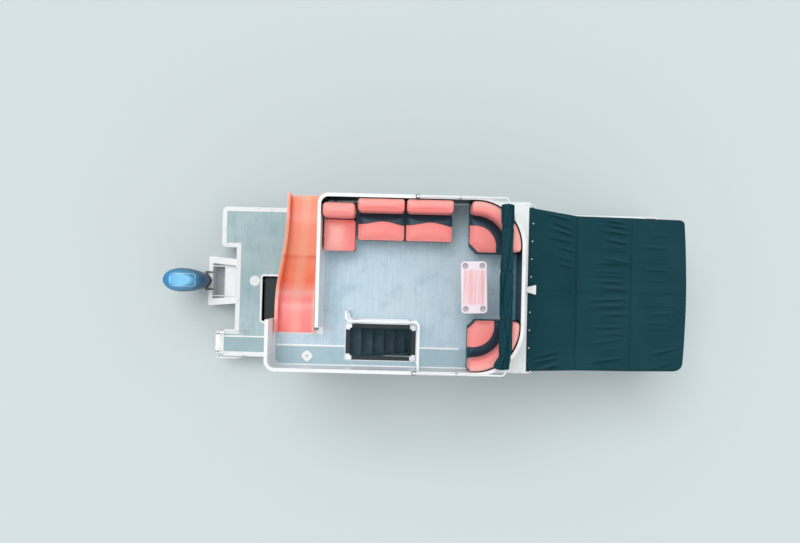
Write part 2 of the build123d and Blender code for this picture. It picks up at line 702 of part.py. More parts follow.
HANDRAIL_TUBE = 28.0
HANDRAIL_OUT = 218.0
HANDRAIL_TOP = 1180.0
with BuildPart() as ladder_handrails:
    for side in (-1, 1):
        y = LADDER_Y + side * HANDRAIL_OUT
        hoop = rounded_line(
            [
                (DECK_AFT + 60, y, DECK_Z + TRIM_LIP),
                (DECK_AFT + 60, y, HANDRAIL_TOP),
                (DECK_AFT + 440, y, HANDRAIL_TOP - 120),
                (DECK_AFT + 440, y, DECK_Z + TRIM_LIP),
            ],
            120,
        )
        with BuildSketch(Plane(origin=hoop @ 0, z_dir=hoop % 0)):
            Circle(HANDRAIL_TUBE / 2)
        sweep(path=hoop)
keep(ladder_handrails, "ladder_handrails")

# Stairs from the lower deck's midships up to the upper deck's hatch.
rise = (UPPER_Z - DECK_Z) / RISERS
stair_port = well_port - 15
stair_starboard = WELL_STARBOARD + 15
stair_top_x = WELL_AFT + 10
with BuildPart() as stairs:
    slope = atan2(rise, TREAD_RUN)
    for y in (stair_starboard, stair_port - STRINGER_THICK):
        with BuildSketch(Plane.XZ.offset(-(y + STRINGER_THICK))):
            with BuildLine():
                Polyline(
                    (stair_top_x, UPPER_Z - FLOOR_THICK - 2),
                    (stair_top_x + 190, UPPER_Z - FLOOR_THICK - 2),
                    (stair_top_x + RISERS * TREAD_RUN + 60, DECK_Z + 0.18 * rise),
                    (stair_top_x + RISERS * TREAD_RUN + 60, DECK_Z),
                    (stair_top_x + RISERS * TREAD_RUN - 100, DECK_Z),
                    close=True,
                )
            make_face()
        extrude(amount=STRINGER_THICK)
    for i in range(1, RISERS):
        z = UPPER_Z - i * rise
        x = stair_top_x + (i - 1) * TREAD_RUN
        block(x, x + TREAD_DEPTH, stair_starboard, stair_port, z - TREAD_THICK, z)
keep(stairs, "stairs")

# Hatch rim: four flat bars that lap the opening, joined by a round casting at each corner.
HATCH_BAR = HATCH_FRAME_WIDTH + 10
HATCH_CASTING = 92.0
hatch_x = (WELL_AFT - 10, well_fore + 10)
hatch_y = (WELL_STARBOARD - 10, well_port + 10)
casting_spots = [
    (x + sx * HATCH_CASTING / 2, y + sy * HATCH_CASTING / 2)
    for x, sx in zip(hatch_x, (1, -1))
    for y, sy in zip(hatch_y, (1, -1))
]


def hatch_bars(z, height):
    """Adds the four bars of the hatch rim, cut short of its corner castings."""
    run = HATCH_CASTING + SEAT_GAP
    for x, sx in zip(hatch_x, (1, -1)):
        block(x, x + sx * HATCH_BAR, hatch_y[0] + run, hatch_y[1] - run, z, z + height)
    for y, sy in zip(hatch_y, (1, -1)):
        block(hatch_x[0] + run, hatch_x[1] - run, y, y + sy * HATCH_BAR, z, z + height)


with BuildPart() as hatch_frame:
    hatch_bars(UPPER_Z, HATCH_FRAME_HEIGHT)
    fillet(hatch_frame.faces().group_by(Axis.Z)[-1].edges(), 4)
keep(hatch_frame, "hatch_frame")

with BuildPart() as hatch_corners:
    with BuildSketch(Plane.XY.offset(UPPER_Z)):
        with Locations(*casting_spots):
            RectangleRounded(HATCH_CASTING, HATCH_CASTING, 22)
        with Locations(((WELL_AFT + well_fore) / 2, (WELL_STARBOARD + well_port) / 2)):
            Rectangle(WELL_LENGTH - 2 * HATCH_FRAME_WIDTH, WELL_WIDTH - 2 * HATCH_FRAME_WIDTH, mode=Mode.SUBTRACT)
    extrude(amount=HATCH_FRAME_HEIGHT + 2)
    chamfer(hatch_corners.faces().group_by(Axis.Z)[-1].edges(), 3)
keep(hatch_corners, "hatch_corners")

GUARD_Y = -540.0
GUARD_HEIGHT = 800.0
GUARD_AFT = -1735.0
GUARD_FORE = -695.0


def guard_line(i):
    return rounded_line(
        [
            (GUARD_AFT - i, GUARD_Y + 140),
            (GUARD_AFT - i, GUARD_Y - i),
            (GUARD_FORE - i, GUARD_Y - i),
            (GUARD_FORE - i, UPPER_TRIM_WIDTH + SEAT_GAP - UPPER_HALF),
        ],
        [60 + i, 60 - i],
    )


with BuildPart() as guard:
    fence_frame(guard_line, UPPER_Z, GUARD_HEIGHT, TUBE)
keep(guard, "stairwell_rail")

# Slide: a moulded chute with thick rolled sides, laid over the edge of the wing.
slide_top_z = UPPER_Z + TRIM_LIP + SEAT_GAP + SLIDE_SHELL
SLIDE_CORNERS = [
    (WING_EDGE - SLIDE_LAP, slide_top_z),
    (SLIDE_BROW_Y, slide_top_z),
    (SLIDE_TOE_Y, SLIDE_TOE_Z),
    (SLIDE_EXIT_Y, SLIDE_EXIT_Z),
]


def slide_line(up):
    """The chute's line in the YZ plane, set off by up from its running surface."""
    legs = [atan2(b[1] - a[1], b[0] - a[0]) for a, b in zip(SLIDE_CORNERS, SLIDE_CORNERS[1:])]
    normals = [(-sin(a), cos(a)) for a in legs]
    normals = [normals[0], *normals, normals[-1]]
    points = []
    for corner, before, after in zip(SLIDE_CORNERS, normals, normals[1:]):
        share = up / (1 + before[0] * after[0] + before[1] * after[1])
        points.append((corner[0] + share * (before[0] + after[0]), corner[1] + share * (before[1] + after[1])))
    return rounded_line(points, [SLIDE_BROW_R + up, SLIDE_TOE_R - up])


# The chute's section: a floor, two thin walls, and a rim along each wall that rolls outward and down.
SLIDE_RIM = 38.0
SLIDE_RIM_DROP = 34.0
SLIDE_END_LIP = 22.0
slide_fore = SLIDE_AFT + SLIDE_WIDTH
with BuildPart() as slide:
    for x0, x1, low, high in (
        (SLIDE_AFT + SLIDE_RIM, slide_fore - SLIDE_RIM, -SLIDE_SHELL, 0.0),
        (SLIDE_AFT + SLIDE_RIM, SLIDE_AFT + SLIDE_RIM + SLIDE_SHELL, -SLIDE_SHELL, SLIDE_SIDE_HEIGHT),
        (slide_fore - SLIDE_RIM - SLIDE_SHELL, slide_fore - SLIDE_RIM, -SLIDE_SHELL, SLIDE_SIDE_HEIGHT),
        (SLIDE_AFT, SLIDE_AFT + SLIDE_RIM + 1, SLIDE_SIDE_HEIGHT - SLIDE_SHELL, SLIDE_SIDE_HEIGHT),
        (slide_fore - SLIDE_RIM - 1, slide_fore, SLIDE_SIDE_HEIGHT - SLIDE_SHELL, SLIDE_SIDE_HEIGHT),
        (SLIDE_AFT, SLIDE_AFT + SLIDE_SHELL, SLIDE_SIDE_HEIGHT - SLIDE_RIM_DROP, SLIDE_SIDE_HEIGHT),
        (slide_fore - SLIDE_SHELL, slide_fore, SLIDE_SIDE_HEIGHT - SLIDE_RIM_DROP, SLIDE_SIDE_HEIGHT),
    ):
        with BuildSketch(Plane.YZ.offset(x0)) as strip:
            band(slide_line, low, high)
        extrude(strip.sketch, amount=x1 - x0)
    entrance = WING_EDGE - SLIDE_LAP
    block(
        SLIDE_AFT + SLIDE_RIM, slide_fore - SLIDE_RIM, entrance, entrance + SLIDE_SHELL,
        slide_top_z - SLIDE_SHELL, slide_top_z + SLIDE_END_LIP,
    )
keep(slide, "slide")

# Stand under the chute: two uprights each side, cut to the chute's slope, and a cross tube.
STAND_TUBE = 40.0
STAND_YS = [560.0, 1010.0]
stand_aft = LOWER_FENCE_AFT + TUBE / 2 + PANEL_THICK + POST_CLEAR
stand_fore = slide_fore - SLIDE_RIM - SLIDE_SHELL
with BuildPart() as stand:
    for y in STAND_YS:
        for x in (stand_aft + STAND_TUBE / 2, stand_fore - STAND_TUBE / 2):
            block(x - STAND_TUBE / 2, x + STAND_TUBE / 2, y - STAND_TUBE / 2, y + STAND_TUBE / 2, DECK_Z, 2200)
        block(stand_aft, stand_fore, y - STAND_TUBE / 2, y + STAND_TUBE / 2, 1300, 1300 + STAND_TUBE)
    with BuildSketch(Plane.YZ.offset(SLIDE_AFT - 10)):
        band(slide_line, -SLIDE_SHELL - SEAT_GAP, SLIDE_TOE_R - 10)
    extrude(amount=SLIDE_WIDTH + 20, mode=Mode.SUBTRACT)
keep(stand, "slide_stand")

# Seating on the upper deck. Each row: name of the group, then plan outlines worked out from the deck's rail.
base_top = UPPER_Z + SEAT_BASE_HEIGHT
seat_top = base_top + CUSHION_THICK
back_top = UPPER_Z + BACK_TOP
BASE_INSET = 25.0
CUSHION_R = 45.0
seat_back_y = upper_rail_y - TUBE / 2 - PANEL_THICK - 18
bench_length = BENCH_FORE - BENCH_AFT
bench_front_y = seat_back_y - BENCH_DEPTH
chaise_front_y = seat_back_y - CHAISE_DEPTH


def cushion(x0, x1, y0, y1, z0, z1, r=CUSHION_R, crown=22.0):
    """A plain pad with rounded corners and a rounded top edge."""
    with BuildSketch(Plane.XY.offset(z0)) as plan:
        with Locations(((x0 + x1) / 2, (y0 + y1) / 2)):
            RectangleRounded(x1 - x0, y1 - y0, r)
    pad = extrude(plan.sketch, amount=z1 - z0)
    fillet(pad.faces().sort_by(Axis.Z)[-1].edges(), crown)


bench_seat_y = seat_back_y - BACK_THICK
with BuildPart() as bench_seats:
    for i in range(2):
        x0 = BENCH_AFT + i * bench_length / 2
        cushion(x0 + 1, x0 + bench_length / 2 - 1, bench_front_y, bench_seat_y - 1, base_top, seat_top)
keep(bench_seats, "bench_seat_cushions")

with BuildPart() as bench_backs:
    for i in range(2):
        x0 = BENCH_AFT + i * bench_length / 2
        cushion(x0 + 1, x0 + bench_length / 2 - 1, bench_seat_y, seat_back_y, base_top, back_top)
keep(bench_backs, "bench_back_cushions")

CHAISE_FORE = -1640.0
CHAISE_BACK_GAP = 70.0
CHAISE_BACK_THICK = 205.0
chaise_back_y = seat_back_y - CHAISE_BACK_GAP
chaise_seat_y = chaise_back_y - CHAISE_BACK_THICK
with BuildPart() as chaise_cushions:
    cushion(CHAISE_AFT, CHAISE_FORE, chaise_front_y, chaise_seat_y - 2, base_top, seat_top)
    cushion(CHAISE_AFT, CHAISE_FORE, chaise_seat_y, chaise_back_y, base_top, back_top)
keep(chaise_cushions, "chaise_cushions")

# Corner seats follow the rail's bow curves.
corner_x = BOW_FENCE_X - BOW_CURVE_R
corner_y = upper_rail_y - BOW_CURVE_R
corner_side = corner_y - CORNER_STRAIGHT
corner_out_r = BOW_CURVE_R - TUBE / 2 - PANEL_THICK - 18
corner_in_r = corner_out_r - BACK_THICK
CORNER_AFT = 20.0
CORNER_CHAMFER = 135.0


def corner_line(side, radius):
    """The round side of a corner seat in plan, at a radius about the rail's bow curve."""
    return rounded_line(
        [
            (CORNER_AFT, side * (corner_y + radius)),
            (corner_x + radius, side * (corner_y + radius)),
            (corner_x + radius, side * corner_side),
        ],
        [radius],
    )


def corner_outline(side, radius, inset):
    """Plan of a corner seat out to a radius, with its two straight sides set in."""
    edge = corner_line(side, radius)
    aft, inner = CORNER_AFT + inset, side * (corner_side + inset)
    with BuildLine(mode=Mode.PRIVATE) as outline:
        add(edge)
        Polyline(
            edge @ 1,
            (aft + CORNER_CHAMFER, inner),
            (aft, inner + side * CORNER_CHAMFER),
            edge @ 0,
        )
    make_face(outline.edges())


# Moulded seat bases: bench, chaise and the two corner seats.
with BuildPart() as seat_bases:
    for x0, x1, y0, y1 in (
        (BENCH_AFT, BENCH_FORE, bench_front_y, seat_back_y),
        (CHAISE_AFT, CHAISE_FORE, chaise_front_y, chaise_back_y + 40),
    ):
        with BuildSketch(Plane.XY.offset(UPPER_Z)):
            with Locations(((x0 + x1) / 2, (y0 + BASE_INSET + y1) / 2)):
                RectangleRounded(x1 - x0 - 2 * BASE_INSET, y1 - y0 - BASE_INSET, 20)
        extrude(amount=SEAT_BASE_HEIGHT)
    for side in (-1, 1):
        with BuildSketch(Plane.XY.offset(UPPER_Z)):
            corner_outline(side, corner_out_r, 0)
            with Locations((CORNER_AFT + BASE_INSET / 2, side * (corner_y + corner_out_r / 2))):
                Rectangle(BASE_INSET, corner_out_r * 2, mode=Mode.SUBTRACT)
        extrude(amount=SEAT_BASE_HEIGHT)
keep(seat_bases, "seat_bases")

with BuildPart() as corner_seats:
    for side in (-1, 1):
        with BuildSketch(Plane.XY.offset(base_top)):
            corner_outline(side, corner_in_r - 1, 0)
        pad = extrude(amount=CUSHION_THICK)
        fillet(pad.faces().sort_by(Axis.Z)[-1].edges(), 20)
keep(corner_seats, "corner_seat_cushions")

with BuildPart() as corner_backs:
    for side in (-1, 1):
        with BuildSketch(Plane.XY.offset(base_top)):
            band(lambda i: corner_line(side, i), corner_in_r, corner_out_r)
        pad = extrude(amount=BACK_TOP - SEAT_BASE_HEIGHT)
        fillet(pad.faces().sort_by(Axis.Z)[-1].edges(), 30)
keep(corner_backs, "corner_seat_backs")

# Table on a single leg between the corner seats, with a cup well near each corner.
CUP_R = 42.0
CUP_DEPTH = 55.0
CUP_WALL = 3.0
CUP_INSET = 65.0
LEG_R = 30.0
LEG_FOOT_R = 95.0
table_top_z = UPPER_Z + TABLE_HEIGHT
table_place = Location((TABLE_X, TABLE_Y, 0), (0, 0, TABLE_TURN))
with BuildPart() as table_top:
    with BuildSketch(Plane.XY.offset(table_top_z)):
        with Locations(table_place):
            RectangleRounded(TABLE_WIDTH, TABLE_LENGTH, 55)
    extrude(amount=TABLE_THICK)
    fillet(table_top.faces().sort_by(Axis.Z)[-1].edges(), 8)
    with BuildSketch(Plane.XY.offset(table_top_z + TABLE_THICK)):
        with Locations(table_place):
            with GridLocations(TABLE_WIDTH - 2 * CUP_INSET, TABLE_LENGTH - 2 * CUP_INSET, 2, 2):
                Circle(CUP_R)
    extrude(amount=-TABLE_THICK, mode=Mode.SUBTRACT)
    with BuildSketch(Plane.XY.offset(table_top_z + TABLE_THICK - CUP_DEPTH)):
        with Locations(table_place):
            with GridLocations(TABLE_WIDTH - 2 * CUP_INSET, TABLE_LENGTH - 2 * CUP_INSET, 2, 2):
                Circle(CUP_R + CUP_WALL)
    extrude(amount=CUP_DEPTH - TABLE_THICK / 2)
    with BuildSketch(Plane.XY.offset(table_top_z + TABLE_THICK)):
        with Locations(table_place):
            with GridLocations(TABLE_WIDTH - 2 * CUP_INSET, TABLE_LENGTH - 2 * CUP_INSET, 2, 2):
                Circle(CUP_R)
    extrude(amount=-(CUP_DEPTH - CUP_WALL), mode=Mode.SUBTRACT)
keep(table_top, "table_top")

with BuildPart() as table_leg:
    with BuildSketch(Plane.XY.offset(UPPER_Z)):
        with Locations((TABLE_X, TABLE_Y)):
            Circle(LEG_FOOT_R)
    extrude(amount=12)
    with BuildSketch(Plane.XY.offset(UPPER_Z)):
        with Locations((TABLE_X, TABLE_Y)):
            Circle(LEG_R)
    extrude(amount=TABLE_HEIGHT - 10)
    with BuildSketch(Plane.XY.offset(table_top_z - 10)):
        with Locations((TABLE_X, TABLE_Y)):
            Circle(75)
    extrude(amount=10)
keep(table_leg, "table_leg")

# Folded sun top: U-shaped bows hinged on the side rails, with the fabric rolled round their cross tubes.
BIMINI_PIVOT_X = -750.0
BIMINI_Y = upper_rail_y
BOW_TUBE_R = 12.5
BIMINI_LIFT = 42.0
BIMINI_RISE = 60.0
BIMINI_HUB = 34.0
BIMINI_PIN_R = 6.0
BIMINI_EAR = 8.0
CRADLE_X = -140.0
BIMINI_ROLL_X = 545.0
BIMINI_ROLL_HALF = 1225.0
BIMINI_ROLL_R = 88.0
bimini_z = upper_rail_top + BIMINI_LIFT
bow_path = [
    (BIMINI_PIVOT_X, BIMINI_Y, bimini_z),
    (BIMINI_ROLL_X, BIMINI_Y, bimini_z + BIMINI_RISE),
    (BIMINI_ROLL_X, -BIMINI_Y, bimini_z + BIMINI_RISE),
    (BIMINI_PIVOT_X, -BIMINI_Y, bimini_z),
]
with BuildPart() as bimini_frame:
    bow = rounded_line(bow_path, 60)
    with BuildSketch(Plane(origin=bow @ 0, z_dir=bow % 0)):
        Circle(BOW_TUBE_R)
    sweep(path=bow)
    for side in (-1, 1):
        y = side * BIMINI_Y
        cross_cylinder(BIMINI_PIVOT_X, y - BIMINI_HUB / 2, y + BIMINI_HUB / 2, bimini_z, 20)
        cross_cylinder(BIMINI_PIVOT_X, y - BIMINI_HUB, y + BIMINI_HUB, bimini_z, BIMINI_PIN_R + PIN_GAP, Mode.SUBTRACT)
keep(bimini_frame, "bimini_frame")

with BuildPart() as bimini_roll:
    with BuildSketch(Plane.XZ.offset(-(BIMINI_ROLL_HALF - 40))):
        with Locations((BIMINI_ROLL_X, bimini_z + BIMINI_RISE)):
            Ellipse(BIMINI_ROLL_R, BIMINI_ROLL_R * 0.75)
            Circle(BOW_TUBE_R + 0.3, mode=Mode.SUBTRACT)
    extrude(amount=2 * BIMINI_ROLL_HALF - 80)
keep(bimini_roll, "bimini_roll")

cradle_top = bimini_z + BIMINI_RISE * (CRADLE_X - BIMINI_PIVOT_X) / (BIMINI_ROLL_X - BIMINI_PIVOT_X) - BOW_TUBE_R - 1
with BuildPart() as bimini_brackets:
    for side in (-1, 1):
        y = side * BIMINI_Y
        reach = BIMINI_HUB / 2 + RUN_GAP + BIMINI_EAR
        block(BIMINI_PIVOT_X - 30, BIMINI_PIVOT_X + 30, y - reach, y + reach, upper_rail_top, upper_rail_top + 6)
        for inner, outer in ((-reach, BIMINI_EAR - reach), (reach - BIMINI_EAR, reach)):
            block(BIMINI_PIVOT_X - 18, BIMINI_PIVOT_X + 18, y + inner, y + outer, upper_rail_top, bimini_z + 16)
        cross_cylinder(BIMINI_PIVOT_X, y - reach, y + reach, bimini_z, BIMINI_PIN_R)
        block(CRADLE_X - 15, CRADLE_X + 15, y - TUBE / 2, y + TUBE / 2, upper_rail_top, cradle_top)
keep(bimini_brackets, "bimini_brackets")

# Bow canopy: three bows that fan up from the lower fences, and one sheet from the upper deck's edge.
CANOPY_SHIFT = -65.0
CANOPY_THICK = 6.0
CANOPY_HALF = 1170.0
CANOPY_INSET = 45.0
CANOPY_FLARE = 72.0
CANOPY_FLARE_SHIFT = 43.0
CANOPY_OVERHANG = 20.0
CANOPY_BULGE = 60.0
CANOPY_CORNERS = (150.0, 70.0)
# Bow stations: foot X on the fence, top X, top height of the sheet there.
CANOPY_BOWS = [(1900.0, 1710.0, 2600.0), (2120.0, 2560.0, 2500.0), (2340.0, 3380.0, 2310.0)]
with BuildPart() as canopy_bows:
    for foot_x, top_x, top_z in CANOPY_BOWS:
        z = top_z - CANOPY_THICK - BOW_TUBE_R - 0.5
        half = CANOPY_HALF - CANOPY_INSET
        bow = rounded_line(
            [
                (foot_x, LOWER_FENCE_Y, lower_rail_top + SEAT_GAP),
                (foot_x, LOWER_FENCE_Y, lower_rail_top + 70),
                (top_x, CANOPY_SHIFT + half, z),
                (top_x, CANOPY_SHIFT - half, z),
                (foot_x, -LOWER_FENCE_Y, lower_rail_top + 70),
                (foot_x, -LOWER_FENCE_Y, lower_rail_top + SEAT_GAP),
            ],
            [60, 150, 150, 60],
        )
        with BuildSketch(Plane(origin=bow @ 0, z_dir=bow % 0)):
            Circle(BOW_TUBE_R)
        sweep(path=bow)
        for side in (-1, 1):
            y = side * LOWER_FENCE_Y
            block(foot_x - 30, foot_x + 30, y - 14, y + 14, lower_rail_top, lower_rail_top + 14)
keep(canopy_bows, "canopy_bows")

# The sheet flares out to the deck's corners at its aft edge, and its fore edge bulges between round corners.
canopy_aft = UPPER_BOW - 20
canopy_fore = CANOPY_BOWS[-1][1] + CANOPY_OVERHANG
stations = [(canopy_aft, UPPER_Z + TRIM_LIP + SEAT_GAP + CANOPY_THICK)] + [(x, z) for _, x, z in CANOPY_BOWS]
(x0, z0), (x1, z1) = stations[-2:]
fore_tip = canopy_fore + CANOPY_BULGE
stations.append((fore_tip, z1 + (z1 - z0) / (x1 - x0) * (fore_tip - x1)))
canopy_starboard, canopy_port = CANOPY_SHIFT - CANOPY_HALF, CANOPY_SHIFT + CANOPY_HALF
with BuildPart() as canopy:
    with BuildSketch(Plane.XZ.offset(-BEAM)):
        with BuildLine():
            Polyline(*stations, *((x, z - CANOPY_THICK) for x, z in reversed(stations)), close=True)
        make_face()
    extrude(amount=2 * BEAM)
    with BuildSketch() as plan:
        with BuildLine():
            Polyline(
                (canopy_fore, canopy_port),
                (CANOPY_BOWS[0][1], canopy_port),
                (canopy_aft, canopy_port + CANOPY_FLARE + CANOPY_FLARE_SHIFT),
                (canopy_aft, canopy_starboard - CANOPY_FLARE + CANOPY_FLARE_SHIFT),
                (CANOPY_BOWS[0][1], canopy_starboard),
                (canopy_fore, canopy_starboard),
            )
            ThreePointArc((canopy_fore, canopy_starboard), (fore_tip, CANOPY_SHIFT), (canopy_fore, canopy_port))
        make_face()
        for corner, radius in zip(plan.vertices().filter_by_position(Axis.X, canopy_fore - 1, BEAM * 2), CANOPY_CORNERS):
            fillet(corner, radius)
    extrude(plan.sketch, amount=upper_rail_top, mode=Mode.INTERSECT)
keep(canopy, "bow_canopy")

# Outboard motor: clamp bracket on the transom, swivel bracket that tilts, leg and cowl that steer, propeller.
TILT_X = -4340.0
TILT_Z = TRANSOM_TOP + 35
STEER_X = -4425.0
COWL_TOP = 1250.0
COWL_BOTTOM = 720.0
PLATE_Z = -270.0
PROP_X = -4700.0
PROP_R = 190.0
prop_z = PLATE_Z - PROP_R - 22
with BuildPart() as clamp:
    for side in (-1, 1):
        y = side * 150
        block(TRANSOM_AFT - 45, TRANSOM_AFT - 0.5, y - 14, y + 14, TRANSOM_TOP - 340, TRANSOM_TOP + 60)
        block(TRANSOM_AFT - 45, TRANSOM_AFT + TRANSOM_THICK + 16, y - 14, y + 14, TRANSOM_TOP + 0.5, TRANSOM_TOP + 22)
        with Locations(Location((TILT_X, y, TILT_Z), (90, 0, 0))):
            Cylinder(26, 28)
    with Locations(Location((TILT_X, 0, TILT_Z), (90, 0, 0))):
        Cylinder(12, 300)
keep(clamp, "outboard_clamp_bracket")

with BuildPart() as swivel:
    with Locations(Location((TILT_X, 0, TILT_Z), (90, 0, 0))):
        Cylinder(30, 250)
    block(STEER_X - 10, TILT_X, -60, 60, TILT_Z - 260, TILT_Z + 22)
    with BuildSketch(Plane.XY.offset(TILT_Z - 290)):
        with Locations((STEER_X, 0)):
            Circle(48)
    extrude(amount=330)
    with Locations(Location((TILT_X, 0, TILT_Z), (90, 0, 0))):
        Cylinder(12.1, 260, mode=Mode.SUBTRACT)
    with BuildSketch(Plane.XY.offset(TILT_Z - 300)):
        with Locations((STEER_X, 0)):
            Circle(24.1)
    extrude(amount=400, mode=Mode.SUBTRACT)
keep(swivel, "outboard_swivel_bracket")

# Leg sections: height, centre x, half length, half width.
LEG_SECTIONS = [
    (COWL_BOTTOM - 0.5, -4545.0, 360.0, 165.0),
    (TILT_Z + 125, -4605.0, 110.0, 80.0),
    (150.0, -4600.0, 95.0, 55.0),
    (PLATE_Z, -4590.0, 90.0, 38.0),
    (prop_z + 40, -4590.0, 85.0, 26.0),
]
with BuildPart() as leg:
    for z, x, half_length, half_width in LEG_SECTIONS:
        with BuildSketch(Plane.XY.offset(z)):
            with Locations((x, 0)):
                Ellipse(half_length, half_width)
    loft(ruled=True)
    with BuildSketch(Plane.XY.offset(PLATE_Z)):
        with Locations((-4640, 0)):
            Ellipse(240, 115)
    extrude(amount=8)
    with BuildSketch(Plane.YZ.offset(PROP_X + 12)):
        with Locations((0, prop_z)):
            Circle(52)
    extrude(amount=150)
    with BuildSketch(Plane.YZ.offset(PROP_X + 162)):
        with Locations((0, prop_z)):
            Circle(52)
    with BuildSketch(Plane.YZ.offset(PROP_X + 330)):
        with Locations((0, prop_z)):
            Circle(12)
    loft()
    with BuildSketch(Plane.XZ):
        with BuildLine():
            Polyline(
                (PROP_X + 40, prop_z),
                (PROP_X + 10, prop_z - 190),
                (PROP_X + 90, prop_z - 195),
                (PROP_X + 210, prop_z),
                close=True,
            )
        make_face()
    extrude(amount=7, both=True)
    with BuildSketch(Plane.XY.offset(TILT_Z - 320)):
        with Locations((STEER_X, 0)):
            Circle(24)
    extrude(amount=TILT_Z + 80 - (TILT_Z - 320))
    block(STEER_X - 120, STEER_X + 24, -40, 40, TILT_Z - 345, TILT_Z - 292)
    block(STEER_X - 160, STEER_X + 24, -45, 45, TILT_Z + 42, TILT_Z + 100)
    with BuildSketch(Plane.YZ.offset(PROP_X - 60)):
        with Locations((0, prop_z)):
            Circle(11)
    extrude(amount=100)
keep(leg, "outboard_leg")

# Cowl sections: share of height, front x, aft x, half width. Each is egg-shaped, widest well aft of its middle.
COWL_SECTIONS = [
    (0.0, -4235.0, -4895.0, 172.0),
    (0.14, -4222.0, -4945.0, 194.0),
    (0.38, -4240.0, -4962.0, 200.0),
    (0.62, -4275.0, -4955.0, 194.0),
    (0.86, -4340.0, -4905.0, 162.0),
    (1.0, -4450.0, -4800.0, 104.0),
]
COWL_WIDEST = 0.42
with BuildPart() as cowl:
    for share, fore, aft, half_width in COWL_SECTIONS:
        with BuildSketch(Plane.XY.offset(COWL_BOTTOM + share * (COWL_TOP - COWL_BOTTOM))):
            middle = aft + COWL_WIDEST * (fore - aft)
            with BuildLine():
                EllipticalCenterArc((middle, 0), fore - middle, half_width, start_angle=-90, arc_size=180)
                EllipticalCenterArc((middle, 0), middle - aft, half_width, start_angle=90, arc_size=180)
            make_face()
    loft()
keep(cowl, "outboard_cowl")

BLADE_COUNT = 3
with BuildPart() as propeller:
    with Locations(Location((PROP_X - 40, 0, prop_z), (0, 90, 0))):
        Cylinder(46, 90)
        Cylinder(11.1, 100, mode=Mode.SUBTRACT)
    for i in range(BLADE_COUNT):
        turn = i * 360 / BLADE_COUNT
        for share, angle, width in ((0.2, 62.0, 90.0), (0.65, 42.0, 130.0), (0.96, 28.0, 60.0)):
            plane = (Plane.XY * Location((0, 0, share * PROP_R), (0, 0, 90 - angle)))
            centre = Location((PROP_X - 40, 0, prop_z), (turn, 0, 0))
            with BuildSketch(centre * plane):
                RectangleRounded(width, 8, 3.9)
        loft()
keep(propeller, "propeller")

# Helm and seating on the lower deck, under the upper one.
CONSOLE_X0, CONSOLE_X1 = 720.0, 1100.0
CONSOLE_Y0, CONSOLE_Y1 = -1080.0, -470.0
CONSOLE_HEIGHT = 960.0
CONSOLE_BROW = 40.0
CONSOLE_FACE_RISE = 280.0
CONSOLE_FACE_RUN = 130.0
WHEEL_R = 190.0
console_knee = CONSOLE_HEIGHT - CONSOLE_BROW - CONSOLE_FACE_RISE
with BuildPart() as console:
    with BuildSketch(Plane.XZ.offset(-CONSOLE_Y1)):
        with BuildLine():
            Polyline(
                (CONSOLE_X0 + 40, DECK_Z),
                (CONSOLE_X0, DECK_Z + console_knee),
                (CONSOLE_X0 + CONSOLE_FACE_RUN, DECK_Z + console_knee + CONSOLE_FACE_RISE),
                (CONSOLE_X1 - 60, DECK_Z + CONSOLE_HEIGHT),
                (CONSOLE_X1, DECK_Z + CONSOLE_HEIGHT - 160),
                (CONSOLE_X1, DECK_Z),
                close=True,
            )
        make_face()
    extrude(amount=CONSOLE_Y1 - CONSOLE_Y0)
    fillet(console.edges().filter_by(Axis.Y), 18)
keep(console, "helm_console")

column_y = (CONSOLE_Y0 + CONSOLE_Y1) / 2
face_angle = degrees(atan2(CONSOLE_FACE_RISE, CONSOLE_FACE_RUN))
hub = Vector(CONSOLE_X0 + CONSOLE_FACE_RUN / 2, column_y, DECK_Z + console_knee + CONSOLE_FACE_RISE / 2)
wheel_dir = Vector(-sin(radians(face_angle)), 0, cos(radians(face_angle)))
with BuildPart() as wheel:
    with BuildSketch(Plane(origin=hub + wheel_dir * 0.5, z_dir=wheel_dir)):
        Circle(28)
    extrude(amount=90)
    rim_plane = Plane(origin=hub + wheel_dir * 75, z_dir=wheel_dir, x_dir=(0, 1, 0))
    with BuildSketch(rim_plane):
        Circle(WHEEL_R)
        Circle(WHEEL_R - 26, mode=Mode.SUBTRACT)
        with PolarLocations(0, 3, start_angle=30):
            with Locations((WHEEL_R / 2, 0)):
                Rectangle(WHEEL_R - 20, 34)
    extrude(amount=22)
keep(wheel, "steering_wheel")

CHAIR_X = 130.0
CHAIR_POST = 330.0
CHAIR_HALF = 260.0
with BuildPart() as chair_post:
    with Locations((CHAIR_X, column_y, DECK_Z)):
        Cylinder(150, 12, align=(Align.CENTER, Align.CENTER, Align.MIN))
        Cylinder(36, CHAIR_POST, align=(Align.CENTER, Align.CENTER, Align.MIN))
keep(chair_post, "helm_chair_post")

with BuildPart() as chair:
    z = DECK_Z + CHAIR_POST + SEAT_GAP
    with Locations((CHAIR_X, column_y, z)):
        Cylinder(90, 30, align=(Align.CENTER, Align.CENTER, Align.MIN))
    block(CHAIR_X - 230, CHAIR_X + 250, column_y - CHAIR_HALF, column_y + CHAIR_HALF, z + 29, z + 160)
    block(CHAIR_X - 260, CHAIR_X - 120, column_y - CHAIR_HALF, column_y + CHAIR_HALF, z + 29, z + 640)
    fillet(chair.edges().filter_by(Axis.Y), 40)
keep(chair, "helm_chair")

# Lower lounges. Each row: aft x, fore x, side.
LOUNGES = [(1500.0, 2900.0, -1), (1300.0, 2900.0, 1), (-1950.0, -500.0, 1)]
LOUNGE_INNER = 600.0
LOUNGE_BACK = 150.0
lounge_outer = post_y - POST_DIAMETER / 2 - 20
with BuildPart() as lounge_bases:
    for x0, x1, side in LOUNGES:
        ys = sorted((side * (LOUNGE_INNER + BASE_INSET), side * lounge_outer))
        block(x0 + BASE_INSET, x1 - BASE_INSET, *ys, DECK_Z, DECK_Z + SEAT_BASE_HEIGHT)
keep(lounge_bases, "lounge_bases")

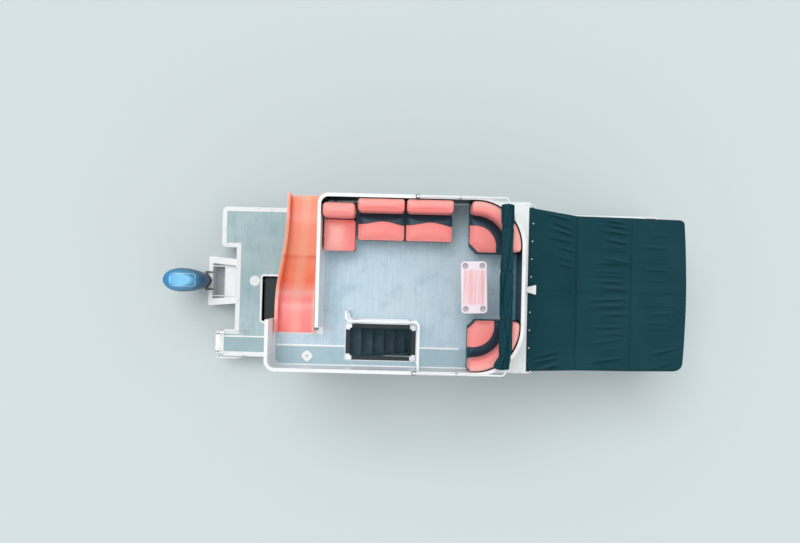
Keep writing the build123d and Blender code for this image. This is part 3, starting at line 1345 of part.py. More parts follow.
with BuildPart() as lounge_cushions:
    for x0, x1, side in LOUNGES:
        seat = sorted((side * LOUNGE_INNER, side * (lounge_outer - LOUNGE_BACK)))
        back = sorted((side * (lounge_outer - LOUNGE_BACK + 1), side * lounge_outer))
        z = DECK_Z + SEAT_BASE_HEIGHT
        cushion(x0, x1, *seat, z, z + CUSHION_THICK)
        cushion(x0, x1, *back, z, DECK_Z + BACK_TOP - 60)
keep(lounge_cushions, "lounge_cushions")

# Deck lamp: a box that flares out over the canopy, on a foot on the upper deck's bow edge. Then the mooring cleats.
LAMP_Y = -30.0
LAMP_Z = UPPER_Z + TRIM_LIP + 44
# Lamp sections: x from the deck's bow edge, width, height.
LAMP_SECTIONS = [(-63.0, 68.0, 44.0), (97.0, 150.0, 66.0)]
with BuildPart() as lamp:
    for reach, width, height in LAMP_SECTIONS:
        with BuildSketch(Plane.YZ.offset(UPPER_BOW + reach)):
            with Locations((LAMP_Y, LAMP_Z)):
                RectangleRounded(width, height, 12)
    loft()
    block(UPPER_BOW - 55, UPPER_BOW - 25, LAMP_Y - 22, LAMP_Y + 22, UPPER_Z + TRIM_LIP, LAMP_Z)
keep(lamp, "deck_lamp")

CLEATS = [(-2540.0, 1), (-2540.0, -1), (-1200.0, 1), (3350.0, 1), (3350.0, -1)]
with BuildPart() as cleats:
    for x, side in CLEATS:
        y = side * (half_beam - 40)
        z = DECK_Z + TRIM_LIP
        block(x - 35, x + 35, y - 12, y + 12, z, z + 22)
        with Locations(Location((x, y, z + 30), (0, 90, 0))):
            Cylinder(10, 170)
keep(cleats, "cleats")
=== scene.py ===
import math
import bpy
import bmesh
import numpy as np
from mathutils import Matrix, Vector
from mathutils.bvhtree import BVHTree


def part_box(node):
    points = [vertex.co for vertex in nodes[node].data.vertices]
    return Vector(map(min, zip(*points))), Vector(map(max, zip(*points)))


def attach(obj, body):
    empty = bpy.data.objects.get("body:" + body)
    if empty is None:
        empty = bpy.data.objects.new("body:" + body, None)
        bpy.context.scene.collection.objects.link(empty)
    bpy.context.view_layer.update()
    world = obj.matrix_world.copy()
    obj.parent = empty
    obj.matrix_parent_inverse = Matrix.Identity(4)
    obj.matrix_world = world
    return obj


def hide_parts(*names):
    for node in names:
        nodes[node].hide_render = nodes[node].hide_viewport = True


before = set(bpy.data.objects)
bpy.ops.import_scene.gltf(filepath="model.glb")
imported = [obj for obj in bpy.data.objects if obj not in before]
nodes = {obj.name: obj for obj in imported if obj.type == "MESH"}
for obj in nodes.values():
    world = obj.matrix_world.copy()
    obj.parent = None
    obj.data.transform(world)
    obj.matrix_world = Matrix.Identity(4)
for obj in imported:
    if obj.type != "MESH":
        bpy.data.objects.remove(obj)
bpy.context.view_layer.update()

scene = bpy.context.scene
scene.view_settings.view_transform = "Standard"

# Camera: it looks straight down from 17 m up, turned a little off the boat's centreline.
# Its place and turn were fitted to the edges of both decks and to the rails.
IMAGE_WIDTH = 800
FOCAL_PIXELS = 951.1
SENSOR_MM = 36.0
CAMERA_PLACE = (-0.99, -0.084, 17.0)
CAMERA_YAW, CAMERA_TILT, CAMERA_ROLL = math.radians(1.419), math.radians(1.1225), math.radians(-0.0363)

camera = bpy.data.objects.new("camera", bpy.data.cameras.new("camera"))
scene.collection.objects.link(camera)
camera.data.sensor_width = SENSOR_MM
camera.data.lens = FOCAL_PIXELS * SENSOR_MM / IMAGE_WIDTH
camera.data.clip_end = 200.0
turn = Matrix.Rotation(CAMERA_ROLL, 4, "Y") @ Matrix.Rotation(CAMERA_TILT, 4, "X")
camera.matrix_world = Matrix.Translation(CAMERA_PLACE) @ turn @ Matrix.Rotation(CAMERA_YAW, 4, "Z")
scene.camera = camera

# Light: a wide soft lamp nearly overhead, a little to the port quarter, a weak one from the bow and an even
# pale surround. Together they light a level surface so that a colour renders about as it is written.
# Lamps: name, strength, softness in degrees, direction in which it shines.
LAMPS = [("key", 1.28, 36, (0.18, -0.28, -1.0)), ("fill", 0.38, 60, (-0.8, 0.3, -0.7))]
SURROUND_STRENGTH, SURROUND_COLOUR = 0.61, "F1F5F6"
for lamp_name, strength, softness, aim in LAMPS:
    lamp = bpy.data.objects.new(lamp_name, bpy.data.lights.new(lamp_name, "SUN"))
    scene.collection.objects.link(lamp)
    lamp.data.energy = strength
    lamp.data.angle = math.radians(softness)
    lamp.rotation_mode = "QUATERNION"
    lamp.rotation_quaternion = Vector(aim).to_track_quat("-Z", "Y")


def linear(code):
    """An sRGB colour written as six hex digits, as linear red, green, blue and alpha."""
    srgb = np.array([int(code[i:i + 2], 16) for i in (0, 2, 4)]) / 255
    rgb = np.where(srgb <= 0.04045, srgb / 12.92, ((srgb + 0.055) / 1.055) ** 2.4)
    return (*rgb.tolist(), 1.0)


def add(tree, kind, inputs=None, **settings):
    """Adds a shader node: settings are its own, and each input is a value or the socket that feeds it."""
    made = tree.nodes.new("ShaderNode" + kind)
    for key, value in settings.items():
        setattr(made, key, value)
    for key, value in (inputs or {}).items():
        if isinstance(value, bpy.types.NodeSocket):
            tree.links.new(value, made.inputs[key])
        else:
            made.inputs[key].default_value = value
    return made


scene.world = bpy.data.worlds.new("surround")
scene.world.use_nodes = True
background = scene.world.node_tree.nodes["Background"]
background.inputs["Color"].default_value = linear(SURROUND_COLOUR)
background.inputs["Strength"].default_value = SURROUND_STRENGTH

# Floor: one plain pale sheet of matte paper at z = 0, the height at which the boat floats.
# It takes the boat's shadow, and the lower half of each float is below it.
FLOOR_HALF = 40.0
FLOOR_COLOUR = "D7E0E2"


def finish(name, base=None, **values):
    """Starts a material with a plain colour and values; its node tree and its shader come back with it."""
    made = bpy.data.materials.new(name)
    made.use_nodes = True
    shader = made.node_tree.nodes["Principled BSDF"]
    if base:
        shader.inputs["Base Color"].default_value = linear(base)
    for key, value in values.items():
        shader.inputs[key.replace("_", " ")].default_value = value
    return made, made.node_tree, shader


floor_mesh = bpy.data.meshes.new("floor")
floor_mesh.from_pydata([(x, y, 0.0) for x, y in ((-1, -1), (1, -1), (1, 1), (-1, 1))], [], [(0, 1, 2, 3)])
floor_mesh.transform(Matrix.Diagonal((FLOOR_HALF, FLOOR_HALF, 1, 1)))
floor = bpy.data.objects.new("floor", floor_mesh)
scene.collection.objects.link(floor)
floor_mesh.materials.append(finish("matte paper floor", FLOOR_COLOUR, Roughness=0.9)[0])

# Floats: tubes rolled from 2.5 mm marine aluminium sheet, butt welded every sheet and swept up at the nose.
# The metal is dull from rolling, with streaks along it, a chalky tide mark and a weld bead at each joint.
SHEET_LENGTH_MM = 1220.0
ROLLING_STREAK_MM = (900.0, 14.0)
CHALK_MM = 333.3
TIDE_HALF = 0.03
WELD_WIDTH = 0.006
COLOUR_ROLLED, COLOUR_STREAK, COLOUR_TIDE = "B4BABD", "8F979B", "7C8275"
rolled, tree, shader = finish("rolled marine aluminium", Metallic=1.0)
place = add(tree, "TexCoord").outputs["Object"]
streak_scale = (1000 / ROLLING_STREAK_MM[0], 1000 / ROLLING_STREAK_MM[1], 1000 / ROLLING_STREAK_MM[1])
stretch = add(tree, "Mapping", {0: place, "Scale": streak_scale})
streaks = add(tree, "TexNoise", {"Vector": stretch.outputs[0], "Scale": 1.0, "Detail": 5.0})
chalk = add(tree, "TexNoise", {"Vector": place, "Scale": 1000 / CHALK_MM, "Detail": 6.0, "Roughness": 0.65})
height = add(tree, "SeparateXYZ", {0: place})
tide = add(tree, "MapRange", {0: height.outputs["Z"], 1: TIDE_HALF, 2: -TIDE_HALF, 3: 0.0, 4: 1.0})
dull = add(tree, "Math", {0: tide.outputs[0], 1: chalk.outputs[0]}, operation="MULTIPLY")
tone = add(tree, "Math", {0: streaks.outputs[0], 1: 0.35}, operation="MULTIPLY")
mixed = add(tree, "Mix", {
    0: tone.outputs[0], 6: linear(COLOUR_ROLLED), 7: linear(COLOUR_STREAK),
}, data_type="RGBA")
stained = add(tree, "Mix", {
    0: dull.outputs[0], 6: mixed.outputs[2], 7: linear(COLOUR_TIDE),
}, data_type="RGBA")
tree.links.new(stained.outputs[2], shader.inputs["Base Color"])
rough = add(tree, "MapRange", {0: streaks.outputs[0], 1: 0.3, 2: 0.7, 3: 0.32, 4: 0.5})
rougher = add(tree, "Math", {0: rough.outputs[0], 1: dull.outputs[0]}, operation="MAXIMUM")
tree.links.new(rougher.outputs[0], shader.inputs["Roughness"])
sheet_x = add(tree, "Math", {0: height.outputs["X"], 1: SHEET_LENGTH_MM / 1000}, operation="PINGPONG")
weld = add(tree, "MapRange", {
    0: sheet_x.outputs[0], 1: 0.0, 2: WELD_WIDTH, 3: 1.0, 4: 0.0,
}, interpolation_type="SMOOTHSTEP")
ripple = add(tree, "Math", {0: weld.outputs[0], 1: streaks.outputs[0]}, operation="ADD")
bump = add(tree, "Bump", {"Height": ripple.outputs[0], "Strength": 0.5, "Distance": 0.002})
tree.links.new(bump.outputs[0], shader.inputs["Normal"])


def paint(material, *names):
    """Gives CAD nodes a material."""
    for name in names:
        nodes[name].data.materials.clear()
        nodes[name].data.materials.append(material)


paint(rolled, "float_port", "float_centre", "float_starboard")

# Frame under the decks: extruded aluminium channels and tubes, left as they leave the press.
# Extruding leaves a satin face with faint lines along each length.
PRESS_LINE_MM = (400.0, 5.0)
satin, tree, shader = finish("satin extruded aluminium", "C2C7CA", Metallic=1.0)
place = add(tree, "TexCoord").outputs["Object"]
press_scale = (1000 / PRESS_LINE_MM[1], 1000 / PRESS_LINE_MM[0], 1000 / PRESS_LINE_MM[1])
along = add(tree, "Mapping", {0: place, "Scale": press_scale})
lines = add(tree, "TexNoise", {"Vector": along.outputs[0], "Scale": 1.0, "Detail": 3.0})
rough = add(tree, "MapRange", {0: lines.outputs[0], 1: 0.3, 2: 0.7, 3: 0.26, 4: 0.42})
tree.links.new(rough.outputs[0], shader.inputs["Roughness"])
bump = add(tree, "Bump", {"Height": lines.outputs[0], "Strength": 0.15, "Distance": 0.0005})
tree.links.new(bump.outputs[0], shader.inputs["Normal"])
paint(satin, "deck_cross_members", "table_leg", "canopy_bows", "helm_chair_post", "hatch_corners")

# Posts, beams, rails, gates and the motor bracket: welded aluminium with a baked white powder coat.
# The coat has the faint dimples of baked powder and is a little grey where spray dries on it.
DIMPLE_MM = 3.0
STAIN_MM = 260.0
COLOUR_POWDER, COLOUR_STAIN = "F8FAFB", "E4EAEC"
powder, tree, shader = finish("white powder coat", Roughness=0.34)
place = add(tree, "TexCoord").outputs["Object"]
stain = add(tree, "TexNoise", {"Vector": place, "Scale": 1000 / STAIN_MM, "Detail": 6.0, "Roughness": 0.6})
patch = add(tree, "MapRange", {0: stain.outputs[0], 1: 0.5, 2: 0.8, 3: 0.0, 4: 1.0})
mixed = add(tree, "Mix", {
    0: patch.outputs[0], 6: linear(COLOUR_POWDER), 7: linear(COLOUR_STAIN),
}, data_type="RGBA")
tree.links.new(mixed.outputs[2], shader.inputs["Base Color"])
dimples = add(tree, "TexNoise", {"Vector": place, "Scale": 1000 / DIMPLE_MM, "Detail": 1.0})
bump = add(tree, "Bump", {"Height": dimples.outputs[0], "Strength": 0.12, "Distance": 0.0006})
tree.links.new(bump.outputs[0], shader.inputs["Normal"])
paint(
    powder, "motor_bracket", "upper_deck_posts", "upper_deck_beams", "lower_fence_port",
    "lower_fence_starboard", "upper_rail", "bow_gate", "stern_gate", "ladder_handrails", "stairwell_rail",
    "slide_stand", "bimini_frame",
)

# Deck edges: a rub rail of extruded white vinyl, pressed over the rim of each deck.
# Vinyl is softer than paint: less gloss, and scuffed grey along its outer lip.
SCUFF_MM = (120.0, 120.0, 6.0)
COLOUR_RUB_RAIL, COLOUR_SCUFF = "F7F9FA", "D5DBDD"
rub, tree, shader = finish("extruded white vinyl")
place = add(tree, "TexCoord").outputs["Object"]
spread = add(tree, "Mapping", {0: place, "Scale": tuple(1000 / size for size in SCUFF_MM)})
scuffs = add(tree, "TexNoise", {"Vector": spread.outputs[0], "Scale": 1.0, "Detail": 8.0, "Roughness": 0.7})
worn = add(tree, "MapRange", {0: scuffs.outputs[0], 1: 0.56, 2: 0.78, 3: 0.0, 4: 1.0})
mixed = add(tree, "Mix", {
    0: worn.outputs[0], 6: linear(COLOUR_RUB_RAIL), 7: linear(COLOUR_SCUFF),
}, data_type="RGBA")
tree.links.new(mixed.outputs[2], shader.inputs["Base Color"])
rough = add(tree, "MapRange", {0: worn.outputs[0], 1: 0.0, 2: 1.0, 3: 0.42, 4: 0.62})
tree.links.new(rough.outputs[0], shader.inputs["Roughness"])
bump = add(tree, "Bump", {"Height": scuffs.outputs[0], "Strength": 0.1, "Distance": 0.001})
tree.links.new(bump.outputs[0], shader.inputs["Normal"])
paint(rub, "lower_deck_trim", "upper_deck_trim", "stern_deck_plate", "pole_socket", "bow_edge_plate")

# Floors: woven vinyl flooring glued down on marine plywood, pale grey blue above and greyer below.
# Yarn of two greys streaks across the boat, and wear shows as pale patches, grime and a few dark specks.
# The strip outside the seam is greyer and the fore end a little darker. Along the bow rail the upper deck is
# painted dark: painted shade from the roll and the rail.
# The yarn is drawn coarser than it is, so that the weave shows.
YARN_MM = 9.0
STREAK_MM = (16.0, 420.0)
SPECK_MM = 150.0
WORN_MM = 769.2
GRIME_MM = 260.0
BETWEEN_DECKS_Z = 1.0
DARK_FROM, DARK_TO = -1.6, 0.9
BOW_SHADE_FROM, BOW_SHADE_SOFT = 0.56, 0.05
strips_low, strips_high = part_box("deck_seam_strips")
seam_strip_y = (strips_low.y + strips_high.y) / 2
COLOUR_UPPER, COLOUR_UPPER_PALE = "C2DCEA", "D6ECF7"
COLOUR_LOWER, COLOUR_LOWER_PALE = "A6C2C6", "BAD2D5"
COLOUR_WORN, COLOUR_GRIME, COLOUR_STRIP = "D9E6EA", "93B4C2", "9DBBC2"
COLOUR_FORE, COLOUR_BOW_SHADE, COLOUR_SPECK = "9DB8C6", "45829A", "4F6A76"
woven, tree, shader = finish("woven vinyl flooring", Roughness=0.72)
place = add(tree, "TexCoord").outputs["Object"]
across = add(tree, "Mapping", {0: place, "Scale": (1000 / STREAK_MM[0], 1000 / STREAK_MM[1], 1.0)})
streaks = add(tree, "TexNoise", {
    "Vector": across.outputs[0], "Scale": 1.0, "Detail": 6.0, "Roughness": 0.62,
})
streaked = add(tree, "MapRange", {0: streaks.outputs[0], 1: 0.34, 2: 0.68, 3: 0.0, 4: 1.0})
upper = add(tree, "Mix", {
    0: streaked.outputs[0], 6: linear(COLOUR_UPPER), 7: linear(COLOUR_UPPER_PALE),
}, data_type="RGBA")
lower = add(tree, "Mix", {
    0: streaked.outputs[0], 6: linear(COLOUR_LOWER), 7: linear(COLOUR_LOWER_PALE),
}, data_type="RGBA")
split = add(tree, "SeparateXYZ", {0: place})
above = add(tree, "Math", {0: split.outputs["Z"], 1: BETWEEN_DECKS_Z}, operation="GREATER_THAN")
mixed = add(tree, "Mix", {0: above.outputs[0], 6: lower.outputs[2], 7: upper.outputs[2]}, data_type="RGBA")
shade = add(tree, "TexNoise", {"Vector": place, "Scale": 1000 / WORN_MM, "Detail": 4.0, "Roughness": 0.6})
worn = add(tree, "MapRange", {0: shade.outputs[0], 1: 0.42, 2: 0.72, 3: 0.0, 4: 0.5})
mixed = add(tree, "Mix", {
    0: worn.outputs[0], 6: mixed.outputs[2], 7: linear(COLOUR_WORN),
}, data_type="RGBA")
grime = add(tree, "TexNoise", {"Vector": place, "Scale": 1000 / GRIME_MM, "Detail": 9.0, "Roughness": 0.72})
grime = add(tree, "MapRange", {0: grime.outputs[0], 1: 0.5, 2: 0.72, 3: 0.0, 4: 0.5})
mixed = add(tree, "Mix", {
    0: grime.outputs[0], 6: mixed.outputs[2], 7: linear(COLOUR_GRIME),
}, data_type="RGBA")
strip = add(tree, "Math", {0: split.outputs["Y"], 1: seam_strip_y}, operation="LESS_THAN")
strip = add(tree, "Math", {0: strip.outputs[0], 1: 0.6}, operation="MULTIPLY")
mixed = add(tree, "Mix", {
    0: strip.outputs[0], 6: mixed.outputs[2], 7: linear(COLOUR_STRIP),
}, data_type="RGBA")
fore = add(tree, "MapRange", {0: split.outputs["X"], 1: DARK_FROM, 2: DARK_TO, 3: 0.0, 4: 0.3})
mixed = add(tree, "Mix", {
    0: fore.outputs[0], 6: mixed.outputs[2], 7: linear(COLOUR_FORE),
}, data_type="RGBA")
# Painted shade: a dark band on the upper deck along the bow rail, in front of the sun top's roll.
bow_shade = add(tree, "MapRange", {
    0: split.outputs["X"], 1: BOW_SHADE_FROM, 2: BOW_SHADE_FROM + BOW_SHADE_SOFT, 3: 0.0, 4: 0.9,
})
bow_shade = add(tree, "Math", {0: bow_shade.outputs[0], 1: above.outputs[0]}, operation="MULTIPLY")
mixed = add(tree, "Mix", {0: bow_shade.outputs[0], 6: mixed.outputs[2], 7: linear(COLOUR_BOW_SHADE)}, data_type="RGBA")
cells = add(tree, "TexVoronoi", {"Vector": place, "Scale": 1000 / SPECK_MM, "Randomness": 1.0})
specks = add(tree, "MapRange", {0: cells.outputs["Distance"], 1: 0.035, 2: 0.065, 3: 0.6, 4: 0.0})
mixed = add(tree, "Mix", {
    0: specks.outputs[0], 6: mixed.outputs[2], 7: linear(COLOUR_SPECK),
}, data_type="RGBA")
tree.links.new(mixed.outputs[2], shader.inputs["Base Color"])
yarn = add(tree, "Mapping", {0: place, "Scale": (1000 / YARN_MM, 1000 / YARN_MM, 1.0)})
weave = add(tree, "TexBrick", {
    "Vector": yarn.outputs[0], "Scale": 1.0, "Mortar Size": 0.12, "Mortar Smooth": 1.0,
    "Brick Width": 1.0, "Row Height": 0.5,
}, offset=0.5)
bump = add(tree, "Bump", {
    "Height": weave.outputs["Fac"], "Strength": 0.35, "Distance": 0.0012,
}, invert=True)
tree.links.new(bump.outputs[0], shader.inputs["Normal"])
paint(woven, "lower_deck_floor", "upper_deck_floor")

# Rail panels: aluminium sheet riveted inside the tubes, in satin marine enamel.
# The lower ones are black. The upper ones are white aft and to starboard, black to port and at the bow.
# Dried spray leaves pale spots on the enamel, and the thin sheet waves a little between its rivets.
WAVE_MM = 340.0
SALT_MM = 26.0
BLACK_FROM_X, BLACK_FROM_Y = 0.33, 1.0
COLOUR_PANEL, COLOUR_PANEL_WHITE, COLOUR_SALT = "152A32", "F4F8F9", "8E9DA2"
for enamel_name, two_tone, names in (
    ("satin black enamel", False, ("lower_fence_port_panel", "lower_fence_starboard_panel")),
    ("satin two tone enamel", True, ("upper_rail_panel",)),
):
    panel_paint, tree, shader = finish(enamel_name, Specular_IOR_Level=0.5)
    place = add(tree, "TexCoord").outputs["Object"]
    salt = add(tree, "TexVoronoi", {"Vector": place, "Scale": 1000 / SALT_MM})
    drops = add(tree, "MapRange", {0: salt.outputs["Distance"], 1: 0.10, 2: 0.22, 3: 0.16, 4: 0.0})
    mixed = add(tree, "Mix", {
        0: drops.outputs[0], 6: linear(COLOUR_PANEL), 7: linear(COLOUR_SALT),
    }, data_type="RGBA")
    if two_tone:
        split = add(tree, "SeparateXYZ", {0: place})
        fore = add(tree, "Math", {0: split.outputs["X"], 1: BLACK_FROM_X}, operation="GREATER_THAN")
        port = add(tree, "Math", {0: split.outputs["Y"], 1: BLACK_FROM_Y}, operation="GREATER_THAN")
        black = add(tree, "Math", {0: fore.outputs[0], 1: port.outputs[0]}, operation="MAXIMUM")
        mixed = add(tree, "Mix", {
            0: black.outputs[0], 6: linear(COLOUR_PANEL_WHITE), 7: mixed.outputs[2],
        }, data_type="RGBA")
    tree.links.new(mixed.outputs[2], shader.inputs["Base Color"])
    rough = add(tree, "MapRange", {0: drops.outputs[0], 1: 0.0, 2: 0.16, 3: 0.3, 4: 0.6})
    tree.links.new(rough.outputs[0], shader.inputs["Roughness"])
    waves = add(tree, "TexNoise", {"Vector": place, "Scale": 1000 / WAVE_MM, "Detail": 1.0})
    bump = add(tree, "Bump", {"Height": waves.outputs[0], "Strength": 0.3, "Distance": 0.01})
    tree.links.new(bump.outputs[0], shader.inputs["Normal"])
    paint(panel_paint, *names)

# Ladder, hinges, cleats and propeller: polished 316 stainless steel.
# Polishing leaves fine hairlines and a bright, slightly warm grey.
HAIRLINE_MM = 2.0
steel, tree, shader = finish("polished stainless steel", "C9C8C4", Metallic=1.0)
place = add(tree, "TexCoord").outputs["Object"]
hair = add(tree, "TexNoise", {"Vector": place, "Scale": 1000 / HAIRLINE_MM, "Detail": 2.0})
rough = add(tree, "MapRange", {0: hair.outputs[0], 1: 0.2, 2: 0.8, 3: 0.12, 4: 0.28})
tree.links.new(rough.outputs[0], shader.inputs["Roughness"])
paint(steel, "boarding_ladder", "ladder_mount", "gate_hinges", "cleats", "propeller")

# Stairs and seat bases: rotomoulded polyethylene, dark slate.
# The mould leaves a fine even grain that scatters light, paler where it is trodden and rubbed.
GRAIN_MM = 2.5
RUB_MM = 150.0
COLOUR_SLATE, COLOUR_RUBBED = "264652", "476C78"
moulded, tree, shader = finish("rotomoulded dark polyethylene", Roughness=0.6)
place = add(tree, "TexCoord").outputs["Object"]
rubbed = add(tree, "TexNoise", {"Vector": place, "Scale": 1000 / RUB_MM, "Detail": 5.0})
patch = add(tree, "MapRange", {0: rubbed.outputs[0], 1: 0.5, 2: 0.75, 3: 0.0, 4: 0.5})
mixed = add(tree, "Mix", {
    0: patch.outputs[0], 6: linear(COLOUR_SLATE), 7: linear(COLOUR_RUBBED),
}, data_type="RGBA")
tree.links.new(mixed.outputs[2], shader.inputs["Base Color"])
grain = add(tree, "TexNoise", {"Vector": place, "Scale": 1000 / GRAIN_MM, "Detail": 2.0})
bump = add(tree, "Bump", {"Height": grain.outputs[0], "Strength": 0.4, "Distance": 0.0006})
tree.links.new(bump.outputs[0], shader.inputs["Normal"])
paint(moulded, "stairs", "seat_bases")

# Edging round the hatch: a thin white aluminium angle that covers the cut edge of the flooring.
# It is one mitred ring, laid on the deck against the rim, so only a narrow bright line shows outside it.
EDGING_GAP, EDGING_WIDTH, EDGING_HEIGHT, EDGING_NOSE = 0.001, 0.012, 0.006, 0.0036
edging_outer = EDGING_GAP + EDGING_WIDTH
edging_section = [
    (EDGING_GAP, 0.0), (EDGING_GAP, EDGING_HEIGHT), (edging_outer, EDGING_NOSE), (edging_outer, 0.0),
]
rim_low, rim_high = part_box("hatch_frame")
edging_rows = []
for out, up in edging_section:
    x0, x1, y0, y1 = rim_low.x - out, rim_high.x + out, rim_low.y - out, rim_high.y + out
    edging_rows.append([(x, y, rim_low.z + up) for x, y in ((x0, y0), (x1, y0), (x1, y1), (x0, y1))])


def grid_mesh(name, rows, closed=True, capped=True):
    """Joins a grid of points, rows by columns, into one skin; closed joins the last column to the first."""
    count, width = rows.shape[:2]
    down = np.arange(count - 1)[:, None] * width
    col = np.arange(width if closed else width - 1)[None, :]
    right = (col + 1) % width
    faces = np.stack([down + col, down + right, down + width + right, down + width + col], axis=-1)
    faces = faces.reshape(-1, 4).tolist()
    if capped:
        faces += [list(range(width))[::-1], [(count - 1) * width + i for i in range(width)]]
    mesh = bpy.data.meshes.new(name)
    mesh.from_pydata(rows.reshape(-1, 3).tolist(), [], faces)
    mesh.validate()
    shaped = bmesh.new()
    shaped.from_mesh(mesh)
    bmesh.ops.remove_doubles(shaped, verts=shaped.verts, dist=1e-5)
    if closed:
        bmesh.ops.recalc_face_normals(shaped, faces=shaped.faces)
    shaped.to_mesh(mesh)
    shaped.free()
    mesh.polygons.foreach_set("use_smooth", [True] * len(mesh.polygons))
    made = bpy.data.objects.new(name, mesh)
    scene.collection.objects.link(made)
    return made


edging = grid_mesh("hatch_edging", np.array([*edging_rows, edging_rows[0]]), capped=False)
edging.data.polygons.foreach_set("use_smooth", [False] * len(edging.data.polygons))
edging.data.materials.append(powder)
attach(edging, "root")

# Helm console and lounge bases: sprayed white gel coat over glass fibre.
# Gel coat is glossy with a clear skin and a slow orange peel.
PEEL_MM = 22.0
gel, tree, shader = finish("white gel coat", "DFE5E7", Roughness=0.22, Coat_Weight=0.6, Coat_Roughness=0.06)
place = add(tree, "TexCoord").outputs["Object"]
peel = add(tree, "TexNoise", {"Vector": place, "Scale": 1000 / PEEL_MM, "Detail": 1.0})
bump = add(tree, "Bump", {"Height": peel.outputs[0], "Strength": 0.1, "Distance": 0.001})
tree.links.new(bump.outputs[0], shader.inputs["Normal"])
paint(gel, "helm_console", "lounge_bases")

# Black mouldings: glass-filled nylon for the sun top's brackets, wheel, stern locker and the hatch's rim.
# Moulded nylon is a deep matte black with a spark-eroded grain, drawn coarser than it is.
SPARK_MM = 1.5
nylon, tree, shader = finish("black glass filled nylon", "12242A", Roughness=0.55)
place = add(tree, "TexCoord").outputs["Object"]
spark = add(tree, "TexNoise", {"Vector": place, "Scale": 1000 / SPARK_MM, "Detail": 2.0})
bump = add(tree, "Bump", {"Height": spark.outputs[0], "Strength": 0.3, "Distance": 0.0004})
tree.links.new(bump.outputs[0], shader.inputs["Normal"])
paint(nylon, "bimini_brackets", "steering_wheel", "stern_locker", "hatch_frame")

# Slide: one rotomoulded chute of coral polyethylene with rolled sides, laid over the edge of the wing.
# Sun has faded it: pink on the flat, orange where it falls, pale peach on the run out, chalky on its rims.
# Painted light is mixed in: a pale band just past the brow is a painted highlight, and the orange down the
# fall is deepened as painted shade.
# Moulded polyethylene has a soft waxy gloss over a fine even grain.
CHUTE_GRAIN_MM = 3.0
FADE_MM = 420.0
# Fade stations, with the painted highlight and shade among them: distance across the boat in metres, colour
# there.
CHUTE_FADE_AND_LIGHT = [
    (-0.74, "FF8686"), (-0.26, "FF9390"), (-0.16, "FFAFA6"), (-0.07, "FF9078"), (0.03, "FF7C54"),
    (0.16, "FF885C"), (0.34, "FF9470"), (0.415, "F67F5E"), (0.46, "FFA582"), (0.70, "FFA084"),
    (1.02, "FF997E"), (1.18, "FF8364"), (1.34, "FF8A5E"), (1.44, "FFA888"),
]
CHUTE_MIDDLE, CHUTE_HALF = -2.54, 0.295
TROD_HALF, TROD_SOFT, RIM_FROM, RIM_TO = 0.03, 0.12, 0.030, 0.008
COLOUR_BLOTCH, COLOUR_TROD, COLOUR_RIM = "FFB698", "FFC8AE", "FFC8B0"
chute, tree, shader = finish(
    "faded coral polyethylene", Roughness=0.36, Coat_Weight=0.15, Coat_Roughness=0.2,
)
place = add(tree, "TexCoord").outputs["Object"]
split = add(tree, "SeparateXYZ", {0: place})
colour = linear(CHUTE_FADE_AND_LIGHT[0][1])
for (y0, _), (y1, code) in zip(CHUTE_FADE_AND_LIGHT, CHUTE_FADE_AND_LIGHT[1:]):
    step = add(tree, "MapRange", {
        0: split.outputs["Y"], 1: y0, 2: y1, 3: 0.0, 4: 1.0,
    }, interpolation_type="SMOOTHSTEP")
    colour = add(tree, "Mix", {0: step.outputs[0], 6: colour, 7: linear(code)}, data_type="RGBA").outputs[2]
blotch = add(tree, "TexNoise", {"Vector": place, "Scale": 1000 / FADE_MM, "Detail": 4.0})
pale = add(tree, "MapRange", {0: blotch.outputs[0], 1: 0.45, 2: 0.75, 3: 0.0, 4: 0.3})
colour = add(tree, "Mix", {
    0: pale.outputs[0], 6: colour, 7: linear(COLOUR_BLOTCH),
}, data_type="RGBA").outputs[2]
off = add(tree, "Math", {0: split.outputs["X"], 1: CHUTE_MIDDLE}, operation="SUBTRACT")
off = add(tree, "Math", {0: off.outputs[0]}, operation="ABSOLUTE")
trod = add(tree, "MapRange", {
    0: off.outputs[0], 1: TROD_HALF, 2: TROD_SOFT, 3: 0.3, 4: 0.0,
}, interpolation_type="SMOOTHSTEP")
colour = add(tree, "Mix", {
    0: trod.outputs[0], 6: colour, 7: linear(COLOUR_TROD),
}, data_type="RGBA").outputs[2]
rim = add(tree, "MapRange", {
    0: off.outputs[0], 1: CHUTE_HALF - RIM_FROM, 2: CHUTE_HALF - RIM_TO, 3: 0.0, 4: 0.6,
})
colour = add(tree, "Mix", {
    0: rim.outputs[0], 6: colour, 7: linear(COLOUR_RIM),
}, data_type="RGBA").outputs[2]
tree.links.new(colour, shader.inputs["Base Color"])
grain = add(tree, "TexNoise", {"Vector": place, "Scale": 1000 / CHUTE_GRAIN_MM, "Detail": 2.0})
bump = add(tree, "Bump", {"Height": grain.outputs[0], "Strength": 0.2, "Distance": 0.0005})
tree.links.new(bump.outputs[0], shader.inputs["Normal"])
paint(chute, "slide")

# Bench on the port side: two seat pads and two back pads of foam under coral marine vinyl.
# The back third of each seat is a dark teal insert, sewn in along a wave, and a welt runs round each pad.
# The pads are blown up as cloth. Those below the upper deck are built from coarser voxels.
PAD_VOXEL, SHADED_VOXEL = 0.013, 0.017
PAD_CAP, FIRM_PAD_CAP = 0.0098, 0.0084
PAD_PRESSURE, PAD_FRAMES, CLOTH_QUALITY = 4.0, 20, 4
PAD_ROOM, PAD_FOOT, PAD_HEAD = 0.006, 0.001, 0.006
BENCH_GAP = 0.001
SEAT_CORNERS, BACK_CORNERS = [0.04, 0.04, 0.015, 0.015], [0.05, 0.05, 0.03, 0.03]
WAVE_LINE, WAVE_HEIGHT, WAVE_SHIFT, WAVE_SLOPE = 0.902, 0.026, 0.55, 0.016
WELT_RADIUS, WELT_SUNK, WELT_FADE = 0.0045, 0.7, 0.15
